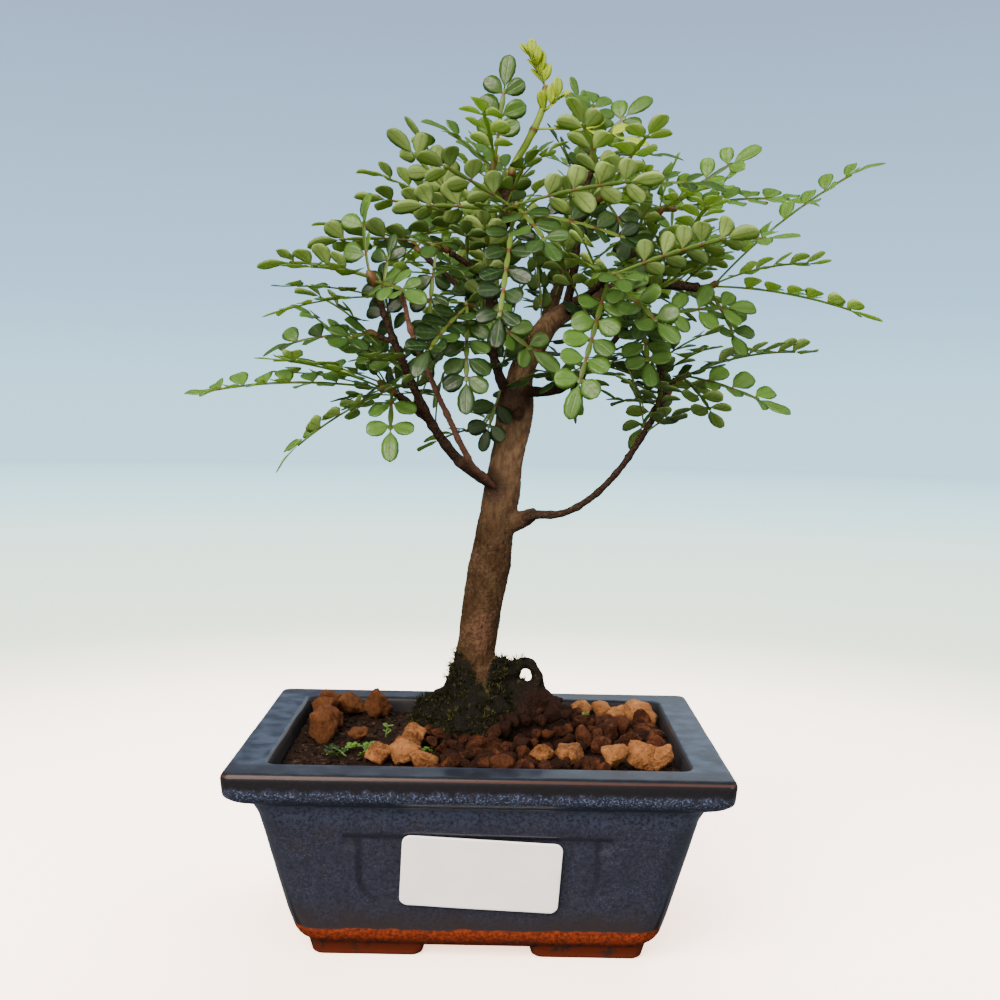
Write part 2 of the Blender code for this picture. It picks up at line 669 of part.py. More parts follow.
def add_piece(name, mesh, kind=None, smooth_angle=None):
    """An object in metres from points in millimetres."""
    verts, faces = mesh
    data = bpy.data.meshes.new(name)
    data.from_pydata([tuple(Vector(vert) * MM) for vert in verts], [], faces)
    data.validate()
    piece = bpy.data.objects.new(name, data)
    bpy.context.scene.collection.objects.link(piece)
    if kind:
        data.materials.append(finish_of(kind))
    if smooth_angle:
        data.shade_smooth()
        data.set_sharp_from_angle(angle=math.radians(smooth_angle))
    return piece


def settle(piece, smooth_angle=None):
    """Turns the modifiers' result into the piece's own mesh."""
    graph = bpy.context.evaluated_depsgraph_get()
    old = piece.data
    piece.data = bpy.data.meshes.new_from_object(piece.evaluated_get(graph))
    piece.modifiers.clear()
    name = old.name
    bpy.data.meshes.remove(old)
    piece.data.name = name
    if smooth_angle:
        piece.data.shade_smooth()
        piece.data.set_sharp_from_angle(angle=math.radians(smooth_angle))


def fuse(name, meshes, kind, cutters=(), smooth_angle=None, solver="EXACT"):
    """One closed body: the first mesh with the others joined to it and the cutters taken away."""
    piece = add_piece(name, meshes[0], kind)
    helpers = {"UNION": list(meshes[1:]), "DIFFERENCE": list(cutters)}
    for operation, bodies in helpers.items():
        if not bodies:
            continue
        group = bpy.data.collections.new(name + "_" + operation.lower())
        bpy.context.scene.collection.children.link(group)
        for number, body in enumerate(bodies):
            helper = add_piece(f"{name}_{operation.lower()}_{number}", body)
            bpy.context.scene.collection.objects.unlink(helper)
            group.objects.link(helper)
        join = piece.modifiers.new(operation.title(), "BOOLEAN")
        join.operation = operation
        join.operand_type = "COLLECTION"
        join.collection = group
        join.solver = solver
        settle(piece)
        for helper in list(group.objects):
            bpy.data.objects.remove(helper, do_unlink=True)
        bpy.data.collections.remove(group)
    if smooth_angle:
        piece.data.shade_smooth()
        piece.data.set_sharp_from_angle(angle=math.radians(smooth_angle))
    return piece


# Pot, label and drainage meshes


def rounded_rectangle(half_x, half_y, radius, steps):
    """Points anticlockwise round a rectangle with round corners."""
    outline = []
    for corner, (sign_x, sign_y) in enumerate(((1, 1), (-1, 1), (-1, -1), (1, -1))):
        for step in range(steps + 1):
            angle = math.pi / 2 * (corner + step / steps)
            x = sign_x * (half_x - radius) + radius * math.cos(angle)
            y = sign_y * (half_y - radius) + radius * math.sin(angle)
            outline.append((x, y))
    return outline


def stacked(rings):
    """A closed body through rings of points, from the lowest outside to the last inside."""
    count = len(rings[0])
    verts = [Vector(point) for ring in rings for point in ring]
    faces = [tuple(reversed(range(count)))]
    for ring in range(len(rings) - 1):
        low = ring * count
        for i in range(count):
            j = (i + 1) % count
            faces.append((low + i, low + j, low + count + j, low + count + i))
    faces.append(tuple(range(len(verts) - count, len(verts))))
    return verts, faces


def pot_ring(height, half_x, half_y, radius):
    return [(x, y, height) for x, y in rounded_rectangle(half_x, half_y, radius, CORNER_STEPS)]


def pot_foot(sign_x, sign_y):
    half_x, half_y, height = FOOT_SIZE[0] / 2, FOOT_SIZE[1] / 2, FOOT_SIZE[2]
    outline = rounded_rectangle(half_x, half_y, FOOT_CORNER, 1)
    centre_x = sign_x * FOOT_CENTRE[0]
    centre_y = sign_y * FOOT_CENTRE[1]
    rings = []
    for z, scale in ((0, FOOT_TAPER), (height, 1)):
        rings.append([(x * scale + centre_x, y * scale + centre_y, z) for x, y in outline])
    return stacked(rings)


def face_frame(side):
    """Where a panel or label lies: its point, across, up the slope and outward, on one long face."""
    low = Vector((0, side * FACE_LOW[1], FACE_LOW[0]))
    high = Vector((0, side * FACE_HIGH[1], FACE_HIGH[0]))
    across = Vector((-side, 0, 0))
    up = (high - low).normalized()
    return low, across, up, across.cross(up)


def slab(outline, frame, low, high):
    """A flat plate between two distances from the face, with its outline drawn on the face."""
    origin, across, up, outward = frame
    rings = []
    for distance in (low, high):
        rings.append([origin + across * x + up * y + outward * distance for x, y in outline])
    return stacked(rings)


def panel_outline():
    """A window with rounded lower corners and a wider strip along its top."""
    outline = []
    for step in range(PANEL_ARC_STEPS + 1):
        angle = math.pi / 2 * (step / PANEL_ARC_STEPS - 1)
        x = PANEL_HALF - PANEL_CORNER * (1 - math.cos(angle))
        y = PANEL_BOTTOM + PANEL_CORNER * (1 + math.sin(angle))
        outline.append((x, y))
    outline.append((PANEL_HALF, PANEL_TOP - PANEL_STEP))
    outline.append((PANEL_TOP_HALF, PANEL_TOP - PANEL_STEP + 1.5))
    outline.append((PANEL_TOP_HALF, PANEL_TOP))
    return outline + [(-x, y) for x, y in reversed(outline)]


def make_pot():
    rings = [pot_ring(*row) for row in POT_OUTSIDE + POT_INSIDE]
    shell = stacked(rings)
    feet = [pot_foot(sx, sy) for sx in (-1, 1) for sy in (-1, 1)]
    cutters = [slab(panel_outline(), face_frame(side), -PANEL_DEPTH, 3.0) for side in (-1, 1)]
    for sign in (-1, 1):
        line = [(sign * DRAIN_X, 0, 1.0), (sign * DRAIN_X, 0, 10.0)]
        cutters.append(tube(line, [DRAIN_RADIUS] * 2, 12))
    return fuse("pot", [shell] + feet, "glaze", cutters, smooth_angle=30)


def make_label():
    frame = face_frame(-1)
    half_x, half_y, thickness = LABEL_SIZE[0] / 2, LABEL_SIZE[1] / 2, LABEL_SIZE[2]
    turn = Matrix.Rotation(LABEL_TILT, 2)
    outline = []
    for point in rounded_rectangle(half_x, half_y, LABEL_CORNER, LABEL_CORNER_STEPS):
        x, y = turn @ Vector(point)
        outline.append((x + LABEL_X, y + LABEL_UP_FACE))
    return add_piece("label", slab(outline, frame, GAP, GAP + thickness), "paper")


def make_drain_mesh(name, sign):
    floor = POT_INSIDE[-1][0] + GAP
    half = MESH_SIDE / 2
    centre = sign * DRAIN_X
    outline = [(centre + x, y) for x, y in rounded_rectangle(half, half, 2.0, 1)]
    plate = stacked([[(x, y, z) for x, y in outline] for z in (floor, floor + MESH_THICKNESS)])
    cutters = []
    for x in (-MESH_HOLE_AT, MESH_HOLE_AT):
        for y in (-MESH_HOLE_AT, MESH_HOLE_AT):
            hole = [(a * MESH_HOLE / 2, b * MESH_HOLE / 2) for a, b in ((1, 1), (-1, 1), (-1, -1), (1, -1))]
            rings = [[(centre + x + a, y + b, z) for a, b in hole] for z in (floor - 1, floor + 2)]
            cutters.append(stacked(rings))
    return fuse(name, [plate], "drain_mesh", cutters)


# Soil and stones


def soil_mesh():
    """The soil, with a plain round hole for the foot of the trunk."""
    top, bottom = POT_INSIDE[2], POT_INSIDE[3]
    rings = []
    for height in (SOIL_BOTTOM, top[0], SOIL_LEVEL):
        share = min((height - bottom[0]) / (top[0] - bottom[0]), 1)
        half_x = bottom[1] + (top[1] - bottom[1]) * share - SOIL_CLEARANCE
        half_y = bottom[2] + (top[2] - bottom[2]) * share - SOIL_CLEARANCE
        outline = rounded_rectangle(half_x, half_y, SOIL_CORNER, SOIL_CORNER_STEPS)
        rings.append([(x, y, height) for x, y in outline])
    count = len(rings[0])
    reach = (PLUG_RADIUS + GAP) / math.cos(math.pi / count)
    for height in (SOIL_LEVEL, PLUG_BOTTOM - GAP):
        ring = []
        for step in range(count):
            angle = 2 * math.pi * (step + 0.5) / count
            x = TRUNK_FOOT[0] + reach * math.cos(angle)
            y = TRUNK_FOOT[1] + reach * math.sin(angle)
            ring.append((x, y, height))
        rings.append(ring)
    return stacked(rings)


def stone(x, y, size, shape, draw, growth=1.0):
    """An angular stone that lies flat on the soil: a wide lower face and a smaller upper one."""
    corners, top_corners, height = shape
    limit_x = POT_INSIDE[2][1] - size * STONE_MARGIN
    limit_y = POT_INSIDE[2][2] - size * STONE_MARGIN
    x = min(max(x, -limit_x), limit_x)
    y = min(max(y, -limit_y), limit_y)
    body = bmesh.new()
    for count, reach, level in ((corners, STONE_REACH[0], 0), (top_corners, STONE_REACH[1], height)):
        turn = draw.uniform(0, 2 * math.pi)
        for corner in range(count):
            angle = turn + 2 * math.pi * (corner + draw.uniform(-STONE_SKEW, STONE_SKEW)) / count
            away = size * reach * growth * draw.uniform(*STONE_SPREAD)
            up = SOIL_LEVEL + GAP + size * level * growth * draw.uniform(*STONE_RISE)
            body.verts.new((x + away * math.cos(angle), y + away * math.sin(angle), up))
    bmesh.ops.convex_hull(body, input=body.verts)
    spare = [vert for vert in body.verts if not vert.link_faces]
    bmesh.ops.delete(body, geom=spare, context="VERTS")
    bmesh.ops.recalc_face_normals(body, faces=body.faces)
    body.verts.index_update()
    verts = [vert.co.copy() for vert in body.verts]
    faces = [tuple(vert.index for vert in face.verts) for face in body.faces]
    body.free()
    return verts, faces


def groups(stones):
    """The stones in groups that hold together, the largest group first."""
    trees = [tree_of(mesh) for mesh in stones]
    left = set(range(len(stones)))
    found = []
    while left:
        group = [min(left)]
        for known in group:
            near = [other for other in sorted(left) if trees[other].overlap(trees[known])]
            group += [other for other in near if other not in group]
        left -= set(group)
        found.append([stones[number] for number in group])
    return sorted(found, key=len, reverse=True)


def lava_stones(blocked):
    """Stones over the right half of the soil, clear of everything in the blocked tree."""
    draw = random.Random(STONE_SEED)
    (left, front), (right, back) = LAVA_CORNERS
    columns = int((right - left) / LAVA_SPACING) + 1
    rows = int((back - front) / LAVA_ROW_SPACING) + 1
    stones = []
    for row in range(rows):
        for column in range(columns):
            x = left + LAVA_SPACING * (column + row % 2 / 2) + draw.uniform(-LAVA_STRAY, LAVA_STRAY)
            y = front + LAVA_ROW_SPACING * row + draw.uniform(-LAVA_STRAY, LAVA_STRAY)
            size = draw.uniform(*LAVA_SIZE)
            seed = draw.random()
            test = stone(x, y, size, LAVA_SHAPE, random.Random(seed), STONE_GROWTH)
            if not tree_of(test).overlap(blocked):
                stones.append(stone(x, y, size, LAVA_SHAPE, random.Random(seed)))
    return stones


def make_stones():
    draw = random.Random(STONE_SEED)
    blocked = wood_meshes()
    for name, rows in TAN_STONES.items():
        stones = groups([stone(*row, TAN_SHAPE, draw) for row in rows])[0]
        fuse(name, stones, "tan_stone")
        blocked += stones
    lava = groups(lava_stones(tree_of(joined(blocked))))
    for name, stones in zip(LAVA_NAMES, lava):
        fuse(name, stones, "lava_stone")


# Wood and leafy shoots


def root_mound():
    """The swollen base of the trunk, flat below and lobed like buried roots."""
    rings = []
    for height, half_x, half_y in MOUND:
        ring = []
        for side in range(MOUND_SIDES):
            angle = 2 * math.pi * side / MOUND_SIDES
            lobe = 1 + sum(depth * math.cos(count * angle + turn) for count, depth, turn in MOUND_LOBES)
            x = MOUND_CENTRE[0] + half_x * lobe * math.cos(angle)
            y = MOUND_CENTRE[1] + half_y * lobe * math.sin(angle)
            ring.append((x, y, height))
        rings.append(ring)
    return stacked(rings)


def wood_meshes():
    routes = [*ROOTS.values(), *BOUGHS.values()]
    return [bough_tube(TRUNK), root_mound()] + [bough_tube(rows) for rows in routes]


def make_wood():
    return fuse("trunk_and_branches", wood_meshes(), "bark", smooth_angle=50)


def make_shoot(shoot):
    meshes = [shoot.stem()] + [leaf(*row) for row in shoot.leaves]
    kind = "young_leaf" if shoot.name == "bright_leader" else "mature_leaf"
    return fuse("shoot_" + shoot.name, meshes, kind, solver="MANIFOLD")


def carry(pieces):
    """Parents every piece to an empty that stands the plant's bounding box over the origin."""
    corners = [vert.co for piece in pieces for vert in piece.data.vertices]
    low_x, high_x = min(c.x for c in corners), max(c.x for c in corners)
    low_y, high_y = min(c.y for c in corners), max(c.y for c in corners)
    bonsai = bpy.data.objects.new("bonsai", None)
    bpy.context.scene.collection.objects.link(bonsai)
    bonsai.location = (-(low_x + high_x) / 2, -(low_y + high_y) / 2, 0)
    for piece in pieces:
        piece.parent = bonsai


def main():
    clear_scene()
    make_pot()
    make_label()
    make_drain_mesh("drain_mesh_left", -1)
    make_drain_mesh("drain_mesh_right", 1)
    add_piece("soil", soil_mesh(), "soil")
    make_stones()
    make_wood()
    for shoot in grow():
        make_shoot(shoot)
    carry([item for item in bpy.data.objects if item.type == "MESH"])


main()
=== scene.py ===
"""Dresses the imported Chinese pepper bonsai: bark, moss, jointed leaves, glaze, soil and stones.

All tables are millimetres in the plant's own frame, with the pot's centre on x = y = 0 and its
feet on z = 0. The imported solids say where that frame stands.
"""

import itertools
import json
import math
import random

import bpy
import numpy as np
from mathutils import Matrix, Vector
from mathutils.bvhtree import BVHTree
from mathutils.kdtree import KDTree

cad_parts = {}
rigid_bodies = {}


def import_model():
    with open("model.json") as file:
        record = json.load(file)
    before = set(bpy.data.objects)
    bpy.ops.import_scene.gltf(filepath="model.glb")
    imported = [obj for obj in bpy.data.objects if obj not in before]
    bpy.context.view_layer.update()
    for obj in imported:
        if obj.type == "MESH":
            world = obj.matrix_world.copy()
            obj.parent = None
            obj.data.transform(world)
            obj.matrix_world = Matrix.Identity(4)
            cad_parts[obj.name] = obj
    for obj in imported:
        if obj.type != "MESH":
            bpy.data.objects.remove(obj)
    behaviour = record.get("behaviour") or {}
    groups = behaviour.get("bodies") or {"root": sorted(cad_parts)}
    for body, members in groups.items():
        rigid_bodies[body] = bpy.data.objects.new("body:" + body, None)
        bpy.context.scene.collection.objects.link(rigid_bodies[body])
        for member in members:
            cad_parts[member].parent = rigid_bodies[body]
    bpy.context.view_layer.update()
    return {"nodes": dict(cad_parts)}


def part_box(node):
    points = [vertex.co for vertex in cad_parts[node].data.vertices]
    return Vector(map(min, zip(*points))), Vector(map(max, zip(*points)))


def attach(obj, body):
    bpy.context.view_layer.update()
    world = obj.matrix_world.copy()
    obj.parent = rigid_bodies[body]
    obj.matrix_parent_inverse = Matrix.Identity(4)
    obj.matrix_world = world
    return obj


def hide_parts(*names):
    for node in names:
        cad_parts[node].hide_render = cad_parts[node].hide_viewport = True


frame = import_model()

bl_info = {
    "name": "Chinese pepper bonsai",
    "version": (1, 0, 0),
    "blender": (4, 5, 0),
    "location": "View3D > Sidebar > Pepper Tree",
    "description": "Builds the detailed pot, ground, wood and leaves round the packed solids",
    "category": "Object",
}

MM = 0.001
GAP = 0.3
POT_LOW, POT_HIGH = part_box("pot")
SHIFT = np.array([(POT_LOW.x + POT_HIGH.x) / 2, (POT_LOW.y + POT_HIGH.y) / 2, 0.0]) / MM

# Pot: half lengths, half widths and corner radii at each height, outside and inside
POT_OUTSIDE = [
    (3.0, 42.0, 27.5, 6.0),
    (5.0, 44.2, 29.7, 6.5),
    (6.5, 45.2, 30.6, 7.0),
    (12.0, 46.8, 32.2, 7.0),
    (37.5, 53.0, 38.2, 7.0),
    (41.0, 54.5, 39.5, 6.0),
    (42.6, 58.2, 43.2, 4.0),
    (44.0, 59.6, 44.6, 3.0),
    (48.8, 60.0, 45.0, 2.5),
    (50.0, 59.2, 44.2, 2.0),
]
POT_INSIDE = [
    (50.0, 51.0, 36.0, 3.4),
    (48.8, 50.0, 35.0, 3.0),
    (44.0, 49.6, 34.6, 3.2),
    (8.0, 42.5, 28.0, 5.0),
]
FOOT_SIZE = (28.0, 14.0, 4.0)
FOOT_CENTRE = (27.0, 20.4, 2.0)
FOOT_CORNER = 2.5
FOOT_TAPER = 0.97
DRAIN_RADIUS = 6.0
DRAIN_X = 20.0

# Recessed window panel on the pot's two long faces, drawn on the sloping face
FACE_LOW = (12.0, 32.2)
FACE_HIGH = (37.5, 38.2)
PANEL_DEPTH = 0.7
PANEL_TOP_HALF = 32.0
PANEL_HALF = 28.5
PANEL_TOP = 21.8
PANEL_STEP = 4.0
PANEL_BOTTOM = 3.5
PANEL_CORNER = 8.0

# Blank paper label on the front face
LABEL_SIZE = (38.1, 19.0, 0.6)
LABEL_CORNER = 2.0
LABEL_X = 0.7
LABEL_UP_FACE = 12.3
LABEL_TILT = math.radians(-2.8)

# Soil: its level, its bottom, the heights of the rings on its sides and its gap to the pot
SOIL_LEVEL = 46.0
SOIL_BOTTOM = 9.4
SOIL_RINGS = (44.0, 27.0, SOIL_BOTTOM)
SOIL_CORNER = 4.0
SOIL_CLEARANCE = 0.45

# Tan stones on the soil: centre x, centre y and size of each, in groups that touch
TAN_STONES = {
    "tan_grains_back_left": [
        (-46, 29, 8.4), (-45.5, 22, 8.4), (-42, 15.5, 8.4), (-42, 8, 8.8), (-42.5, 0, 9), (-38, 29, 9),
        (-30, 27, 9),
    ],
    "tan_grain_left": [(-32.5, 0, 6.8)],
    "tan_grains_front": [
        (-25, -19, 7.8), (-19, -14, 9), (-18.5, -21, 8), (-13, -26, 7.4), (-17.5, -7.5, 8.4),
    ],
    "tan_grains_right": [(22, -19, 9.4), (15.6, -18, 7)],
    "tan_grains_front_right": [(33, -23, 8.4), (39.5, -20.5, 9.4), (45, -22, 8)],
    "tan_grains_back_right": [(28.5, 30, 6.8), (34, 28.5, 7), (38.5, 26, 7.4), (43.5, 23, 9.4)],
}

# Lava grains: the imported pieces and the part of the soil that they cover
LAVA_NAMES = ("lava_grains_right", "lava_grains_front")
LAVA_CORNERS = ((-9.0, -31.5), (47.0, 22.0))
STONE_MARGIN = 0.62
STONE_SINK = 0.3
TAN_SWELLING = 1.08

# Wood: centre line points x, y, z and radius, each bough starting inside the one that bears it
TRUNK_SIDES = 12
BOUGH_SIDES = 6
TWIG_SIDES = 5
STOUT_BOUGH = 1.85
TRUNK = [
    (-1, 5, 34, 5.0), (-1, 5, 48, 5.0), (-2, 5, 52, 10.0), (-2.4, 5, 59.5, 8.4), (-2.4, 5, 64, 6.4),
    (-2.1, 5, 69, 5.3), (-1.4, 5, 75, 5.1), (0.2, 5, 86, 5.1), (1.6, 5, 95, 5.3), (3.2, 5, 107, 4.9),
    (4.6, 5, 117, 4.6), (6.4, 5, 128, 4.5), (7.2, 5, 136, 4.8), (7.6, 5, 141, 4.0),
]

# The swollen base round the trunk: height, half length and half width of each ring
MOUND_CENTRE = (2.5, 4.5)
MOUND_LOBES = ((3, 0.06, 0.6), (5, 0.05, 2.0))
MOUND = [
    (46.3, 22.0, 13.0), (50.0, 21.0, 12.4), (54.0, 18.6, 11.0), (57.5, 15.4, 9.2), (60.0, 10.5, 7.2),
    (61.5, 6.0, 5.5),
]
ROOTS = {
    "arch": [
        (3, 4, 64, 3.8), (8, 3.2, 65.2, 2.6), (10, 3, 67.0, 1.2), (12.4, 3, 67.0, 1.0), (13.9, 3, 65.2, 1.1),
        (14.2, 3, 62, 1.5), (14, 2.8, 57, 2.2),
    ],
    "right": [
        (0, 4.5, 59, 5.2), (8, 3.6, 59.4, 4.3), (14, 2.8, 58, 3.8), (19, 1.4, 53.5, 3.4), (21, 0, 49, 3.0),
    ],
    "left": [(-4, 5, 57, 4.8), (-11, 4.4, 56, 3.6), (-15.5, 3.6, 52, 3.0), (-17, 3, 48.5, 2.6)],
    "front": [(-3, 1, 56, 4.8), (-5, -3, 53, 4.0), (-5.5, -6, 49.5, 3.0)],
}
BOUGHS = {
    "main": [
        (7.4, 5, 138, 3.8), (8.5, 6, 144, 3.5), (12, 7, 151, 3.2), (16, 9, 157, 2.9), (23, 12, 162, 2.5),
        (32, 14, 166, 2.0), (43, 12, 168, 1.6), (55, 8, 167, 1.2),
    ],
    "top_back": [
        (12, 7, 151, 2.2), (16, 16, 160, 2.0), (20, 25, 172, 1.7), (24, 33, 183, 1.4), (28, 37, 193, 1.1),
    ],
    "back_left": [
        (9, 6, 145, 2.0), (4, 16, 155, 1.8), (-3, 26, 164, 1.6), (-12, 34, 171, 1.3), (-20, 38, 178, 1.1),
    ],
    "back_right": [(23, 12, 162, 1.8), (32, 23, 166, 1.6), (43, 33, 170, 1.4), (51, 40, 175, 1.1)],
    "top_right": [(20, 10.5, 160, 1.6), (22, 5, 172, 1.4), (23, 2, 184, 1.2), (25, 0, 195, 1.0)],
    "top_right_front": [(23, 2.5, 183, 1.1), (27, -6, 187, 0.95)],
    "main_front": [(43, 12, 168, 1.2), (46.5, 3, 173, 0.95)],
    "right_up": [(32, 14, 166, 1.4), (38, 13, 176, 1.2), (44, 11, 186, 1.0)],
    "front_low": [(20, 10.5, 160, 1.5), (24, -2, 163, 1.3), (27, -14, 165, 1.1), (28, -21, 166, 1.0)],
    "leader": [
        (7, 5, 134, 2.0), (4, 1.5, 140, 1.7), (1.6, -2, 147, 1.5), (0.2, -4, 156, 1.4),
        (0.6, -3.8, 167, 1.3), (3, -2.5, 180, 1.2), (5, -2, 193, 1.2),
    ],
    "leader_low": [(0.2, -4, 157, 1.2), (-3.5, -12, 159, 0.95)],
    "leader_left": [(0.4, -4, 166, 1.2), (-5, -8, 170, 1.1), (-10, -11, 173, 1.0)],
    "leader_front": [(2.6, -3, 178, 1.1), (5, -11, 182, 0.95)],
    "leader_side": [(4.3, -2, 187, 1.0), (1.4, -4, 191, 0.9)],
    "leader_west": [(2, -3, 174, 1.1), (-2.5, -2, 179, 0.9)],
    "inner_back": [(4, 16, 155, 1.4), (0, 18, 167, 1.2), (-4, 19, 179, 1.0)],
    "crown_back": [(20, 25, 172, 1.3), (12, 32, 182, 1.1), (7, 37, 190, 1.0)],
    "low_right": [(8.5, 3, 139, 1.8), (18, -3.5, 139.5, 1.5), (29, -8, 149, 1.1), (36, -7, 158, 1.0)],
    "low_left": [
        (2.5, 3, 114, 1.9), (-7, -6, 121, 1.7), (-14, -13, 131, 1.5), (-20, -18, 144, 1.3),
        (-23, -20, 151, 1.2), (-27, -23, 163, 1.0),
    ],
    "low_left_side": [(-14.5, -13.5, 132, 1.1), (-22, -16, 137.5, 0.95)],
    "low_left_spur": [(-22.5, -19.6, 150, 1.0), (-26.5, -18.5, 151.5, 0.9)],
    "low_left_back": [(-14, -13, 131, 1.3), (-20, -5, 135, 1.1), (-26, 4, 139, 1.0)],
    "bare_twig": [
        (2.5, 3, 113.5, 1.3), (-4, -12, 121, 1.15), (-9, -20, 132, 1.05), (-14, -27, 143, 0.95),
        (-18, -32, 153, 0.9), (-20, -34, 161, 0.85),
    ],
    "right_knob": [(5, 4, 104, 3.0), (11, 3, 106, 2.2), (13.4, 2.2, 107.6, 1.6)],
    "right_low": [
        (9, 3.5, 105, 1.9), (13, 0, 107, 1.6), (19, -2, 107.5, 1.3), (27, -5, 112, 1.2), (34, -8, 120, 1.15),
        (39, -10, 128, 1.15), (43, -12, 137, 1.2), (43, -12, 144, 1.1), (40, -12, 155, 0.95),
    ],
    "right_low_spur": [(43, -12, 140, 1.1), (47, -11, 142.5, 0.9)],
    "right_low_back": [(42, -11.7, 135, 1.0), (45, -3, 137, 0.9), (47, 5, 139, 0.85)],
    "trunk_back": [(5.5, 6, 123, 1.6), (2, 15, 126, 1.2), (-1, 22, 128, 1.0)],
    "cut_stub_left": [(1.4, -2.2, 148, 1.3), (-2.4, -4, 151, 1.1)],
    "cut_stub_knot": [(7, 3, 132, 2.0), (8.4, -1, 133.5, 1.5)],
}

